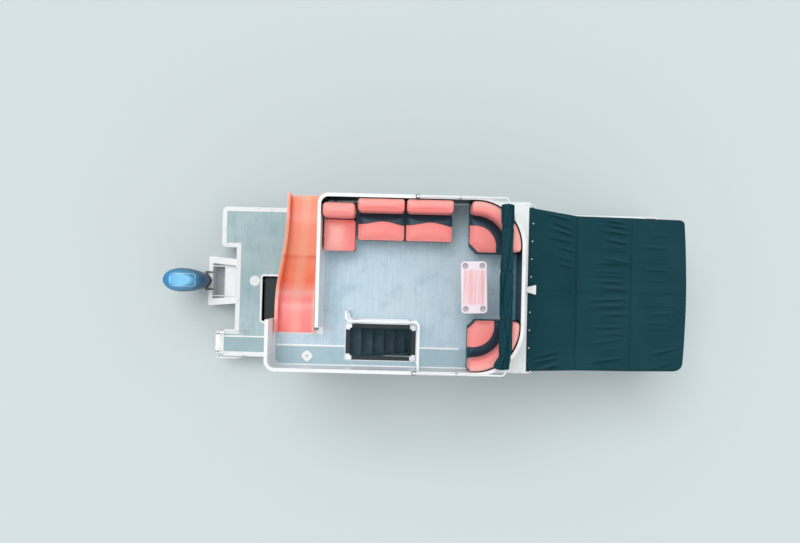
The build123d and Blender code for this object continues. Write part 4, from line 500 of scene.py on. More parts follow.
# How much the sun has paled a seat, how much paler its rounded sides are painted as a highlight, and how far
# below the top these begin.
SEAT_FADE, SIDE_HIGHLIGHT, SIDE_BELOW = 0.08, 0.25, 0.03
# Where a welt lies: in from the pad's plan line, down from its top.
SEAT_WELT, BACK_WELT = (0.006, 0.03), (0.010, 0.035)
COLOUR_VINYL, COLOUR_VINYL_PALE, COLOUR_TEAL, COLOUR_SEAM_SHADE = "FF8985", "FFC2B6", "00394D", "2A2026"
LEATHER_MM = 3.2
CREASE_MM = 85.0
BLOTCH_MM = 300.0
GROOVE_WIDTH = 0.006


def rounded_plan(corners, radii, count=200):
    """A closed plan line of evenly spaced points: straight sides joined by arcs of the corners' radii."""
    corners = np.array(corners, float)
    line = []
    for i, (corner, radius) in enumerate(zip(corners, radii)):
        back = corners[i - 1] - corner
        ahead = corners[(i + 1) % len(corners)] - corner
        back, ahead = back / np.linalg.norm(back), ahead / np.linalg.norm(ahead)
        half = math.acos(np.clip(back @ ahead, -1, 1)) / 2
        middle = (back + ahead) / np.linalg.norm(back + ahead)
        centre = corner + middle * radius / math.sin(half)
        start, end = (corner + side * radius / math.tan(half) - centre for side in (back, ahead))
        share = np.linspace(0, 1, 13)[:, None]
        arc = start * (1 - share) + end * share
        line.append(centre + arc / np.linalg.norm(arc, axis=1)[:, None] * radius)
    line = np.vstack([*line, line[0][:1]])
    run = np.append(0, np.cumsum(np.linalg.norm(np.diff(line, axis=0), axis=1)))
    at = np.linspace(0, run[-1], count, endpoint=False)
    return np.column_stack([np.interp(at, run, line[:, axis]) for axis in (0, 1)])


def outward(line):
    """Unit normals of a closed plan line: its direction turned by a right angle, away from its middle."""
    along = np.roll(line, -1, axis=0) - np.roll(line, 1, axis=0)
    across = np.column_stack([along[:, 1], -along[:, 0]])
    across /= np.linalg.norm(across, axis=1)[:, None]
    around = np.sum(line[:, 0] * np.roll(line[:, 1], -1) - np.roll(line[:, 0], -1) * line[:, 1])
    return across * np.sign(around)


def plan_pad(name, plan, low, high, edge=0.03, crown=0.02, bulge=0.004):
    """A pad: its plan line is carried up a side with rounded edges, then drawn in to its middle.

    The side swells by bulge, as a half sine. The top's height is crown times 1 less the cube of the way out.
    """
    normal, middle = outward(plan), plan.mean(axis=0)
    turns = np.radians(np.linspace(0, 90, 6))
    side = high - crown - low
    inset = [edge * 0.5, *(edge * (1 - np.sin(turns)) * 0.5), *(edge * (1 - np.cos(turns)))]
    height = [low, *(low + edge * 0.5 * (1 - np.cos(turns))), *(low + side - edge * (1 - np.sin(turns)))]
    bow = np.sin(np.clip((np.array(height) - low) / side, 0, 1) * np.pi) * bulge
    rings = [
        np.column_stack([plan + normal * (b - i), np.full(len(plan), z)])
        for i, z, b in zip(inset, height, bow)
    ]
    last = rings[-1][:, :2]
    shares = np.linspace(1, 0.02, 10)[1:]
    crowned = low + side + crown * (1 - shares ** 3)
    tops = [
        np.column_stack([middle + (last - middle) * share, np.full(len(plan), z)])
        for share, z in zip(shares, crowned)
    ]
    return grid_mesh(name, np.array([*rings, *tops]))


def points_of(mesh):
    """A mesh's points as rows of X, Y and Z."""
    points = np.empty(len(mesh.vertices) * 3)
    mesh.vertices.foreach_get("co", points)
    return points.reshape(-1, 3)


def blow_up(pad, cap, rest, voxel=PAD_VOXEL):
    """Remeshes a pad and inflates it as cloth; no point moves past cap, and rest keeps it on its seat."""
    scene.view_layers[0].objects.active = pad
    remesh = pad.modifiers.new("voxels", "REMESH")
    remesh.mode = "VOXEL"
    remesh.voxel_size = voxel
    bpy.ops.object.modifier_apply(modifier=remesh.name)
    start = moved = points_of(pad.data)
    cloth = pad.modifiers.new("cloth", "CLOTH")
    cloth.settings.use_pressure = True
    cloth.settings.uniform_pressure_force = PAD_PRESSURE
    cloth.settings.effector_weights.gravity = 0.0
    cloth.settings.quality = CLOTH_QUALITY
    for step in range(1, PAD_FRAMES + 1):
        scene.frame_set(step)
    moved = points_of(pad.evaluated_get(bpy.context.evaluated_depsgraph_get()).data)
    pad.modifiers.remove(cloth)
    scene.frame_set(1)
    shift = moved - start
    far = np.linalg.norm(shift, axis=1)[:, None]
    moved = start + shift * np.minimum(1, cap / np.maximum(far, 1e-9))
    moved = rest(moved)
    pad.data.vertices.foreach_set("co", moved.ravel())
    smooth = pad.modifiers.new("smooth", "SUBSURF")
    smooth.levels = smooth.render_levels = 1
    pad.data.polygons.foreach_set("use_smooth", [True] * len(pad.data.polygons))
    return moved


def kept_in(foot, x_range=(-np.inf, np.inf), y_range=(-np.inf, np.inf)):
    """A clamp on points: X and Y stay in the room between the neighbours, and none falls below the foot."""
    return lambda p: np.column_stack([
        np.clip(p[:, 0], *x_range), np.clip(p[:, 1], *y_range), np.maximum(p[:, 2], foot),
    ])


def mark(piece, **fields):
    """Stores one number for all of a piece's points, or one for each, for its material to read."""
    for name, values in fields.items():
        stored = piece.data.attributes.new(name, "FLOAT", "POINT")
        stored.data.foreach_set("value", np.full(len(piece.data.vertices), values, float))


def tube(name, line, radius, sides=8, closed=False, scale=None):
    """A round tube: a circle stands square to a line at each of its points; scale thins or swells it."""
    line = np.asarray(line, float)
    if closed:
        along = np.roll(line, -1, axis=0) - np.roll(line, 1, axis=0)
    else:
        along = np.gradient(line, axis=0)
    along /= np.linalg.norm(along, axis=1)[:, None]
    side = np.cross(along, (0.0, 0.0, 1.0))
    flat = np.linalg.norm(side, axis=1) < 0.05
    side[flat] = np.cross(along[flat], (0.0, 1.0, 0.0))
    side /= np.linalg.norm(side, axis=1)[:, None]
    up = np.cross(side, along)
    turn = np.linspace(0, 2 * np.pi, sides, endpoint=False)
    size = radius * (np.ones(len(line)) if scale is None else scale)
    ring = np.cos(turn)[None, :, None] * side[:, None] + np.sin(turn)[None, :, None] * up[:, None]
    rows = line[:, None] + ring * size[:, None, None]
    if closed:
        rows = np.concatenate([rows, rows[:1]])
    return grid_mesh(name, rows, capped=not closed)


def on_surface(piece, line, lift=0.0):
    """Moves each point of a line to the nearest point of a piece, and lift off it."""
    tree = BVHTree.FromObject(piece, bpy.context.evaluated_depsgraph_get())
    found = [tree.find_nearest(Vector(p)) for p in line]
    return np.array([place + normal * lift for place, normal, _, _ in found])


# Marine vinyl is a soft plastic skin over knitted cloth: a low sheen, a fine leather grain and sunk seams,
# with painted shade in their grooves.
# It reads how pale the vinyl is, from sun fade and from a highlight painted on rounded edges and on the
# backs, and seam, the distance to the sewn line: teal below 0.
vinyl, tree, shader = finish("coral marine vinyl", Roughness=0.42, Sheen_Weight=0.15, Sheen_Roughness=0.5)
place = add(tree, "TexCoord").outputs["Object"]
fade = add(tree, "Attribute", attribute_name="fade")
seam = add(tree, "Attribute", attribute_name="seam")
blotch = add(tree, "TexNoise", {"Vector": place, "Scale": 1000 / BLOTCH_MM, "Detail": 3.0})
pale = add(tree, "Math", {0: blotch.outputs[0], 1: 0.24, 2: -0.1}, operation="MULTIPLY_ADD")
pale = add(tree, "Math", {0: pale.outputs[0], 1: fade.outputs["Fac"]}, operation="ADD", use_clamp=True)
coral = add(tree, "Mix", {
    0: pale.outputs[0], 6: linear(COLOUR_VINYL), 7: linear(COLOUR_VINYL_PALE),
}, data_type="RGBA")
dark = add(tree, "Math", {0: seam.outputs["Fac"], 1: 0.0}, operation="LESS_THAN")
mixed = add(tree, "Mix", {
    0: dark.outputs[0], 6: coral.outputs[2], 7: linear(COLOUR_TEAL),
}, data_type="RGBA")
# Painted shade: the sewn groove is darkened, most strongly on the seam line.
near = add(tree, "Math", {0: seam.outputs["Fac"]}, operation="ABSOLUTE")
groove = add(tree, "MapRange", {
    0: near.outputs[0], 1: 0.0, 2: GROOVE_WIDTH, 3: 0.0, 4: 1.0,
}, interpolation_type="SMOOTHSTEP")
shadow = add(tree, "MapRange", {0: groove.outputs[0], 1: 0.0, 2: 1.0, 3: 0.45, 4: 0.0})
mixed = add(tree, "Mix", {
    0: shadow.outputs[0], 6: mixed.outputs[2], 7: linear(COLOUR_SEAM_SHADE),
}, data_type="RGBA")
tree.links.new(mixed.outputs[2], shader.inputs["Base Color"])
leather = add(tree, "TexVoronoi", {"Vector": place, "Scale": 1000 / LEATHER_MM})
creases = add(tree, "TexNoise", {
    "Vector": place, "Scale": 1000 / CREASE_MM, "Detail": 4.0, "Distortion": 0.6,
})
grained = add(tree, "Bump", {"Height": leather.outputs["Distance"], "Strength": 0.25, "Distance": 0.0005})
creased = add(tree, "Bump", {
    "Height": creases.outputs[0], "Strength": 0.35, "Distance": 0.006, "Normal": grained.outputs[0],
})
sewn = add(tree, "Bump", {
    "Height": groove.outputs[0], "Strength": 0.8, "Distance": 0.004, "Normal": creased.outputs[0],
})
tree.links.new(sewn.outputs[0], shader.inputs["Normal"])


def upholster(pad, node, body="root"):
    """Covers a pad with vinyl, sets it on its body and lets it stand for its CAD node."""
    pad.data.materials.clear()
    pad.data.materials.append(vinyl)
    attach(pad, body)
    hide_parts(node)


def welt(name, pad, plan, top, place, seam=None, body="root"):
    """A sewn cord: the pad's plan line, in and down by place, is laid on the pad and becomes a thin tube.

    Where a seam crosses the pad, it dyes the cord as it dyes the pad.
    """
    inset, drop = place
    line = np.column_stack([plan - outward(plan) * inset, np.full(len(plan), top - drop)])
    cord = tube(name, on_surface(pad, line, WELT_RADIUS * (1 - WELT_SUNK)), WELT_RADIUS, closed=True)
    mark(cord, fade=WELT_FADE, seam=np.where(seam(points_of(cord.data)) < 0, -1.0, 1.0) if seam else 1.0)
    cord.data.materials.append(vinyl)
    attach(cord, body)


seat_low, seat_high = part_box("bench_seat_cushions")
back_low, back_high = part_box("bench_back_cushions")
bench_middle = (seat_low.x + seat_high.x) / 2
bench_halves = ((seat_low.x, bench_middle - BENCH_GAP), (bench_middle + BENCH_GAP, seat_high.x))
for number, (x0, x1) in enumerate(bench_halves, 1):
    x_room = (x0, x1)
    x0, x1 = x0 + PAD_ROOM, x1 - PAD_ROOM
    y0, y1 = seat_low.y + PAD_ROOM, seat_high.y - PAD_ROOM
    plan = rounded_plan([(x0, y0), (x1, y0), (x1, y1), (x0, y1)], SEAT_CORNERS)
    seat = plan_pad(f"bench_seat_pad_{number}", plan, seat_low.z + PAD_FOOT, seat_high.z - PAD_HEAD)
    points = blow_up(seat, PAD_CAP, kept_in(seat_low.z, x_room, (seat_low.y, seat_high.y)))

    def teal_from(p):
        """How far a point lies in front of the wavy seam, a cosine along the seat, lower at its fore end."""
        share = (p[:, 0] - x0) / (x1 - x0)
        wave = WAVE_LINE + WAVE_HEIGHT * np.cos(2 * np.pi * (share - WAVE_SHIFT)) - WAVE_SLOPE * share
        return wave - p[:, 1]

    # Painted highlight: the seat's rounded sides are paler.
    on_side = points[:, 2] < seat_high.z - SIDE_BELOW
    mark(seat, seam=teal_from(points), fade=SEAT_FADE + SIDE_HIGHLIGHT * on_side)
    upholster(seat, "bench_seat_cushions")
    welt(f"bench_seat_welt_{number}", seat, plan, seat_high.z, SEAT_WELT, teal_from)

    y0, y1 = back_low.y + PAD_ROOM, back_high.y - PAD_ROOM
    plan = rounded_plan([(x0, y0), (x1, y0), (x1, y1), (x0, y1)], BACK_CORNERS)
    back = plan_pad(
        f"bench_back_pad_{number}", plan, back_low.z + PAD_FOOT, back_high.z - PAD_HEAD,
        edge=0.045, crown=0.016,
    )
    points = blow_up(back, PAD_CAP, kept_in(back_low.z, x_room, (back_low.y, back_high.y)))
    # Painted highlight: each back pad is paler towards its outer edge by the rail.
    share = (points[:, 1] - y0) / (y1 - y0)
    mark(back, seam=1.0, fade=np.clip(1.3 * share - 0.35, 0, 1) ** 1.3)
    upholster(back, "bench_back_cushions")
    welt(f"bench_back_welt_{number}", back, plan, back_high.z, BACK_WELT)

# Chaise at the aft end of the bench: a wide seat and a low back, of the same foam and vinyl.
# Its seat lies level on the aft half and falls away forward, and is painted paler aft as a highlight. The
# back is faded a little and painted paler towards the rail, a highlight on its rounded edge.
CHAISE_SPLIT, CHAISE_SEAT_TOP = 0.949, 3.05
CHAISE_CORNERS, CHAISE_WELT = [0.045] * 4, (0.010, 0.03)
FALL_START, FALL_DEPTH = 0.52, 0.035
chaise_low, chaise_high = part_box("chaise_cushions")
x0, x1 = chaise_low.x + PAD_ROOM, chaise_high.x - PAD_ROOM
for part, y_room, top, edge in (
    ("seat", (chaise_low.y, CHAISE_SPLIT), CHAISE_SEAT_TOP - PAD_HEAD, 0.03),
    ("back", (CHAISE_SPLIT, chaise_high.y), chaise_high.z - PAD_HEAD, 0.045),
):
    y0, y1 = y_room[0] + PAD_ROOM, y_room[1] - PAD_ROOM
    plan = rounded_plan([(x0, y0), (x1, y0), (x1, y1), (x0, y1)], CHAISE_CORNERS)
    pad = plan_pad(f"chaise_{part}_pad", plan, chaise_low.z + PAD_FOOT, top, edge=edge)
    points = blow_up(pad, PAD_CAP, kept_in(chaise_low.z, (chaise_low.x, chaise_high.x), y_room))
    if part == "seat":
        # The fall is a smooth step along the seat, and fades out down its sides.
        share = np.clip(((points[:, 0] - x0) / (x1 - x0) - FALL_START) / (1 - FALL_START), 0, 1)
        lift = np.clip((points[:, 2] - chaise_low.z) / (top - chaise_low.z), 0, 1)
        points[:, 2] -= FALL_DEPTH * (3 * share ** 2 - 2 * share ** 3) * lift
        pad.data.vertices.foreach_set("co", points.ravel())
        # Painted highlight: the level aft half is paler, and the highlight fades out where the seat falls
        # away.
        mark(pad, seam=1.0, fade=0.55 * (1 - share) ** 2)
    else:
        share = (points[:, 1] - y0) / (y1 - y0)
        # Painted highlight: the back is paler towards the rail.
        mark(pad, seam=1.0, fade=np.clip(0.05 + 0.6 * share, 0, 1))
    upholster(pad, "chaise_cushions")
    welt(f"chaise_{part}_welt", pad, plan, top, CHAISE_WELT)

# Corner seats at the bow rail: one seat pad each, with a dark teal band round its curve, and a curved back.
# The back is a foam bolster bent round the rail and blown up like the rest.
SEAT_SIDE, BOLSTER_OUTER_R, BOLSTER_THICK = 0.490, 0.642, 0.19
BOLSTER_HEAD, BOLSTER_EDGE, BAR_POWER = 0.008, 0.05, 0.32
CORNER_CUT, TEAL_BAND = 0.135, 0.135
CORNER_SMALL_R, CORNER_AFT_R = 0.03, 0.02
# Corner seats: how much the sun has paled a seat, how much paler its rounded sides are painted as a
# highlight, and how far below the top that begins.
CORNER_FADE, CORNER_SIDE_HIGHLIGHT, CORNER_SIDE_BELOW = 0.12, 0.2, 0.04
corner_low, corner_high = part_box("corner_seat_cushions")
bolster_low, bolster_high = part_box("corner_seat_backs")
inner_r = BOLSTER_OUTER_R - BOLSTER_THICK
middle_r = BOLSTER_OUTER_R - BOLSTER_THICK / 2
corner_x, corner_y = bolster_high.x - BOLSTER_OUTER_R, bolster_high.y - BOLSTER_OUTER_R


def bent_bar(name, path, across, low, high, half, edge):
    """A bar: a section is carried along a plan path and shrinks as a quarter circle at both ends.

    The section is a circle whose cosine and sine are raised to BAR_POWER, which makes it a rounded box.
    """
    turn = np.linspace(0, 2 * np.pi, 72, endpoint=False)
    wide = np.sign(np.cos(turn)) * np.abs(np.cos(turn)) ** BAR_POWER * half
    tall = np.sign(np.sin(turn)) * np.abs(np.sin(turn)) ** BAR_POWER * (high - low) / 2
    run = np.append(0, np.cumsum(np.linalg.norm(np.diff(path, axis=0), axis=1)))
    gap = np.minimum(run, run[-1] - run)
    size = np.sqrt(np.clip(1 - np.clip(1 - gap / edge, 0, 1) ** 2, 0, 1)) * 0.97 + 0.03
    shrink = 1 - (1 - size) * edge / half
    rows = np.empty((len(path), len(turn), 3))
    rows[:, :, :2] = path[:, None] + across[:, None] * (wide[None, :, None] * shrink[:, None, None])
    rows[:, :, 2] = (low + high) / 2 + tall[None, :] * (1 - (1 - size[:, None]) * edge / (high - low) * 2)
    return grid_mesh(name, rows)


for side, word in ((1, "port"), (-1, "starboard")):
    reach = inner_r - PAD_FOOT - PAD_ROOM
    aft, inner = corner_low.x + PAD_ROOM, SEAT_SIDE + PAD_ROOM
    corners = [
        (aft, inner + CORNER_CUT), (aft + CORNER_CUT, inner), (corner_x + reach, inner),
        (corner_x + reach, corner_y + reach), (aft, corner_y + reach),
    ]
    plan = rounded_plan(corners, [*[CORNER_SMALL_R] * 3, reach, CORNER_AFT_R]) * (1, side)
    seat = plan_pad(f"corner_seat_pad_{word}", plan, corner_low.z + PAD_FOOT, corner_high.z - PAD_HEAD)
    points = blow_up(seat, FIRM_PAD_CAP, kept_in(corner_low.z))

    def teal_band(p):
        """How far a point lies inside the band's seam, which runs a band's width in from the curve."""
        from_x, from_y = np.maximum(p[:, 0] - corner_x, 0), np.maximum(side * p[:, 1] - corner_y, 0)
        return reach - TEAL_BAND - np.hypot(from_x, from_y)

    # Painted highlight: the seat's rounded sides are paler.
    on_side = points[:, 2] < corner_high.z - CORNER_SIDE_BELOW
    mark(seat, seam=teal_band(points), fade=CORNER_FADE + CORNER_SIDE_HIGHLIGHT * on_side)
    upholster(seat, "corner_seat_cushions")
    welt(f"corner_seat_welt_{word}", seat, plan, corner_high.z, SEAT_WELT, teal_band)

    end_x = np.linspace(corner_low.x + PAD_ROOM, corner_x, 30)
    angle = np.linspace(np.pi / 2, 0, 60)
    end_y = np.linspace(corner_y, SEAT_SIDE + PAD_ROOM, 24)[1:]
    path = np.vstack([
        np.column_stack([end_x[:-1], np.full(len(end_x) - 1, corner_y + middle_r)]),
        np.column_stack([corner_x + middle_r * np.cos(angle), corner_y + middle_r * np.sin(angle)]),
        np.column_stack([np.full(len(end_y), corner_x + middle_r), end_y]),
    ]) * (1, side)
    along = np.gradient(path, axis=0)
    across = np.column_stack([along[:, 1], -along[:, 0]])
    across /= np.linalg.norm(across, axis=1)[:, None]
    bolster = bent_bar(
        f"corner_back_pad_{word}", path, across, bolster_low.z + PAD_FOOT, bolster_high.z - BOLSTER_HEAD,
        BOLSTER_THICK / 2 - PAD_ROOM, BOLSTER_EDGE,
    )
    points = blow_up(bolster, FIRM_PAD_CAP, kept_in(bolster_low.z))
    # Painted highlight: the bolster is paler towards its outer curve.
    from_x, from_y = np.maximum(points[:, 0] - corner_x, 0), np.maximum(side * points[:, 1] - corner_y, 0)
    share = (np.hypot(from_x, from_y) - inner_r) / BOLSTER_THICK
    mark(bolster, seam=1.0, fade=np.clip(1.2 * share - 0.3, 0, 1))
    upholster(bolster, "corner_seat_backs")

# Table: a moulded top with a gloss laminate skin, pale pink, streaked along its length.
# Its rim and its ends are the bare white moulding, and each corner has a cup well, painted darker down
# inside as shade.
LAMINATE_STREAK_MM = (22.0, 500.0)
LAMINATE_HALF, LAMINATE_SOFT = (0.125, 0.225), 0.05
WELL_FROM, WELL_DEEP = 0.01, 0.045
table_low, table_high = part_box("table_top")
laminate_sides = (
    ("X", table_low.x, table_high.x, LAMINATE_HALF[0]), ("Y", table_low.y, table_high.y, LAMINATE_HALF[1]),
)
COLOUR_PINK, COLOUR_PINK_PALE, COLOUR_BARE, COLOUR_WELL_SHADE = "F6B9BC", "FADADF", "F7EAF1", "7E7480"
laminate, tree, shader = finish("gloss laminate", Roughness=0.18, Coat_Weight=0.4, Coat_Roughness=0.05)
place = add(tree, "TexCoord").outputs["Object"]
laminate_scale = (1000 / LAMINATE_STREAK_MM[0], 1000 / LAMINATE_STREAK_MM[1], 1.0)
long = add(tree, "Mapping", {0: place, "Scale": laminate_scale})
streaks = add(tree, "TexNoise", {"Vector": long.outputs[0], "Scale": 1.0, "Detail": 2.0})
streaked = add(tree, "MapRange", {0: streaks.outputs[0], 1: 0.4, 2: 0.62, 3: 0.0, 4: 1.0})
pink = add(tree, "Mix", {
    0: streaked.outputs[0], 6: linear(COLOUR_PINK), 7: linear(COLOUR_PINK_PALE),
}, data_type="RGBA").outputs[2]
split = add(tree, "SeparateXYZ", {0: place})
inside = 1.0
for axis, low, high, half in laminate_sides:
    off = add(tree, "Math", {0: split.outputs[axis], 1: (low + high) / 2}, operation="SUBTRACT")
    off = add(tree, "Math", {0: off.outputs[0]}, operation="ABSOLUTE")
    near = add(tree, "MapRange", {
        0: off.outputs[0], 1: half, 2: half + LAMINATE_SOFT, 3: 1.0, 4: 0.0,
    }, interpolation_type="SMOOTHSTEP")
    inside = add(tree, "Math", {0: near.outputs[0], 1: inside}, operation="MULTIPLY").outputs[0]
mixed = add(tree, "Mix", {0: inside, 6: linear(COLOUR_BARE), 7: pink}, data_type="RGBA")
# Painted shade inside the cup wells: the colour darkens below the top.
deep = add(tree, "MapRange", {
    0: split.outputs["Z"], 1: table_high.z - WELL_FROM, 2: table_high.z - WELL_DEEP, 3: 0.0, 4: 0.45,
})
mixed = add(tree, "Mix", {
    0: deep.outputs[0], 6: mixed.outputs[2], 7: linear(COLOUR_WELL_SHADE),
}, data_type="RGBA")
tree.links.new(mixed.outputs[2], shader.inputs["Base Color"])
paint(laminate, "table_top")

# Sun top: the cloth is rolled round its folded bows and tied with webbing.
# It is one lumpy roll with creases that wind along it, cut off square to port and bunched up to starboard.
# Its radius is a slow swell less lines of creases, pinched at each tie, with one lap along the cloth's edge.
ROLL_TIES = [-0.98, -0.46, 0.22, 0.86]
ROLL_AROUND, ROLL_ALONG = 120, 460
ROLL_SHIFT, ROLL_SPREAD, ROLL_END, ROLL_LAP = -0.010, 1.10, 0.004, 0.05
ROLL_PINCH, PINCH_WIDTH, GATHER_WIDTH = 0.16, 0.035, 0.10
ROLL_FOLD_SPAN, ROLL_END_ROUND = 0.14, 0.012
# The bunched end: from the end of the roll, half its length, how far it leans aft and how much wider it is.
BUNCH_AT, BUNCH_LENGTH, BUNCH_SHIFT, BUNCH_SPREAD = 0.06, 0.10, 0.045, 0.3
roll_low, roll_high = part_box("bimini_roll")
turn, run = np.meshgrid(
    np.linspace(0, 2 * np.pi, ROLL_AROUND, endpoint=False), np.linspace(0, 1, ROLL_ALONG),
)
roll_y = roll_low.y + ROLL_END + (roll_high.y - roll_low.y - 2 * ROLL_END) * run
roll_x, roll_z = (roll_low.x + roll_high.x) / 2, (roll_low.z + roll_high.z) / 2
half_x, half_z = (roll_high.x - roll_low.x) / 2, (roll_high.z - roll_low.z) / 2


def creased(phase, sharp=4):
    """A line of creases: nearly flat at 0, and down to -1 in a narrow valley once in each turn of phase."""
    return -(1 - np.abs(np.sin(phase / 2))) ** sharp


swell = 0.96 + 0.04 * np.sin(7.1 * roll_y + 0.6) + 0.04 * np.sin(3.3 * roll_y + 2.0)
bunch = np.exp(-((roll_y - roll_low.y - BUNCH_AT) / BUNCH_LENGTH) ** 2)
wind = 0.11 * creased(3 * turn + 4.2 * roll_y + 0.5 * np.sin(3 * roll_y))
wind += 0.09 * creased(2 * turn - 2.9 * roll_y + 1.3)
wind += 0.06 * creased(5 * turn + 9.0 * roll_y + 2.0) + 0.025 * np.sin(9 * turn - 14 * roll_y + 1.0)
for tie in ROLL_TIES:
    near = np.exp(-((roll_y - tie) / PINCH_WIDTH) ** 2)
    gathers = np.exp(-((roll_y - tie) / GATHER_WIDTH) ** 2) * np.sin(15 * turn + 2 * np.sin(2 * turn))
    swell = swell - ROLL_PINCH * near
    wind = wind * (1 - 0.5 * near) + 0.035 * gathers
ends = np.clip(np.minimum(run, 1 - run) / ROLL_END_ROUND, 0, 1)
size = np.minimum(swell + wind, 1.02) * np.sqrt(1 - (1 - ends) ** 2 * 0.97)
lapped = ROLL_LAP * (np.mod(turn + 0.4 * np.sin(2.1 * roll_y), 2 * np.pi) / (2 * np.pi) - 0.5)
size = size * (1 + lapped)
wide_x = half_x * (ROLL_SPREAD + BUNCH_SPREAD * bunch)
flat_x = roll_x + ROLL_SHIFT - BUNCH_SHIFT * bunch + wide_x * size * np.cos(turn)
rows = np.stack([flat_x, roll_y, roll_z + half_z * size * np.sin(turn)], axis=-1)
roll = grid_mesh("sun_top_roll", rows)
# Painted shade in the roll's crease valleys and a painted highlight on its crests, shifted towards the
# highlight.
roll_fold = np.clip(0.45 + wind / ROLL_FOLD_SPAN, -1, 1)
mark(roll, tone=0.0, fold=roll_fold.ravel())

# Woven acrylic canvas is quite matte, with hardly any gloss. Dust lies on it in pale clouds.
# It reads fold, for painted shade in valleys and a painted highlight on crests, tone, 0 on the roll and 1 on
# the canopy, the roll's darker colour being painted shade among its wraps, and hem, the distance to a sewn
# edge, whose sunk stitching is painted dark as shade. The yarn is drawn coarser than it is.
ACRYLIC_YARN_MM = 5.0
DUST_MM = 454.5
SLUB_MM = 40.0
HEM_WIDTH, HEM_STITCH = 0.022, 0.002
COLOUR_ROLL_SHADED, COLOUR_CANOPY, COLOUR_DUST = "0B3741", "18414A", "2B5660"
COLOUR_VALLEY_SHADE, COLOUR_CREST_HIGHLIGHT, COLOUR_STITCH_SHADE = "07232B", "3E6A74", "0A2830"
acrylic, tree, shader = finish(
    "woven acrylic canvas", Roughness=0.9, Specular_IOR_Level=0.12, Sheen_Weight=0.03, Sheen_Roughness=0.4,
)
place = add(tree, "TexCoord").outputs["Object"]
tone = add(tree, "Attribute", attribute_name="tone")
hem = add(tree, "Attribute", attribute_name="hem")
fine = add(tree, "Mapping", {0: place, "Scale": (1000 / ACRYLIC_YARN_MM,) * 3})
warp = add(tree, "TexWave", {
    "Vector": fine.outputs[0], "Scale": 0.5, "Distortion": 0.4,
}, bands_direction="X")
weft = add(tree, "TexWave", {
    "Vector": fine.outputs[0], "Scale": 0.5, "Distortion": 0.4,
}, bands_direction="Y")
cloth_weave = add(tree, "Math", {0: warp.outputs["Fac"], 1: weft.outputs["Fac"]}, operation="MAXIMUM")
dust = add(tree, "TexNoise", {"Vector": place, "Scale": 1000 / DUST_MM, "Detail": 5.0, "Roughness": 0.55})
dusty = add(tree, "MapRange", {0: dust.outputs[0], 1: 0.4, 2: 0.75, 3: 0.0, 4: 0.22})
# Painted shade: the roll is the same cloth in a darker colour, for the shade among its wraps.
cloth = add(tree, "Mix", {
    0: tone.outputs["Fac"], 6: linear(COLOUR_ROLL_SHADED), 7: linear(COLOUR_CANOPY),
}, data_type="RGBA")
mixed = add(tree, "Mix", {
    0: dusty.outputs[0], 6: cloth.outputs[2], 7: linear(COLOUR_DUST),
}, data_type="RGBA")
# Painted shade in the folds' valleys and a painted highlight on their crests.
fold = add(tree, "Attribute", attribute_name="fold")
valley = add(tree, "MapRange", {0: fold.outputs["Fac"], 1: 0.0, 2: -1.0, 3: 0.0, 4: 0.5})
mixed = add(tree, "Mix", {
    0: valley.outputs[0], 6: mixed.outputs[2], 7: linear(COLOUR_VALLEY_SHADE),
}, data_type="RGBA")
crest = add(tree, "MapRange", {0: fold.outputs["Fac"], 1: 0.0, 2: 1.0, 3: 0.0, 4: 0.3})
mixed = add(tree, "Mix", {
    0: crest.outputs[0], 6: mixed.outputs[2], 7: linear(COLOUR_CREST_HIGHLIGHT),
}, data_type="RGBA")
# Painted shade along the sunk stitching of the canopy's hems and bow pockets.
stitch = add(tree, "Math", {0: hem.outputs["Fac"], 1: HEM_WIDTH}, operation="SUBTRACT")
stitch = add(tree, "Math", {0: stitch.outputs[0]}, operation="ABSOLUTE")
sunk = add(tree, "MapRange", {
    0: stitch.outputs[0], 1: 0.0, 2: HEM_STITCH * 2, 3: 1.0, 4: 0.0,
}, interpolation_type="SMOOTHSTEP")
sewn = add(tree, "Math", {0: sunk.outputs[0], 1: tone.outputs["Fac"]}, operation="MULTIPLY")
shadow = add(tree, "Math", {0: sewn.outputs[0], 1: 0.5}, operation="MULTIPLY")
mixed = add(tree, "Mix", {
    0: shadow.outputs[0], 6: mixed.outputs[2], 7: linear(COLOUR_STITCH_SHADE),
}, data_type="RGBA")
tree.links.new(mixed.outputs[2], shader.inputs["Base Color"])
slub = add(tree, "TexNoise", {"Vector": place, "Scale": 1000 / SLUB_MM, "Detail": 4.0})
rumple = add(tree, "Bump", {"Height": slub.outputs[0], "Strength": 0.3, "Distance": 0.003})
threads = add(tree, "Bump", {
    "Height": cloth_weave.outputs[0], "Strength": 0.3, "Distance": 0.0007, "Normal": rumple.outputs[0],
})
seams = add(tree, "Bump", {
    "Height": sewn.outputs[0], "Strength": 0.8, "Distance": 0.003, "Normal": threads.outputs[0],
}, invert=True)
tree.links.new(seams.outputs[0], shader.inputs["Normal"])
roll.data.materials.append(acrylic)
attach(roll, "bimini")
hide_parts("bimini_roll")

# Ties round the roll: dark teal polyester webbing, pulled tight so that the cloth bulges on both sides.
# Webbing is flat and woven in fine ribs, drawn coarser than they are. Each tie is a thin band on the roll.
TIE_WIDTH, TIE_THICK = 0.022, 0.0030
RIB_MM = 3.0
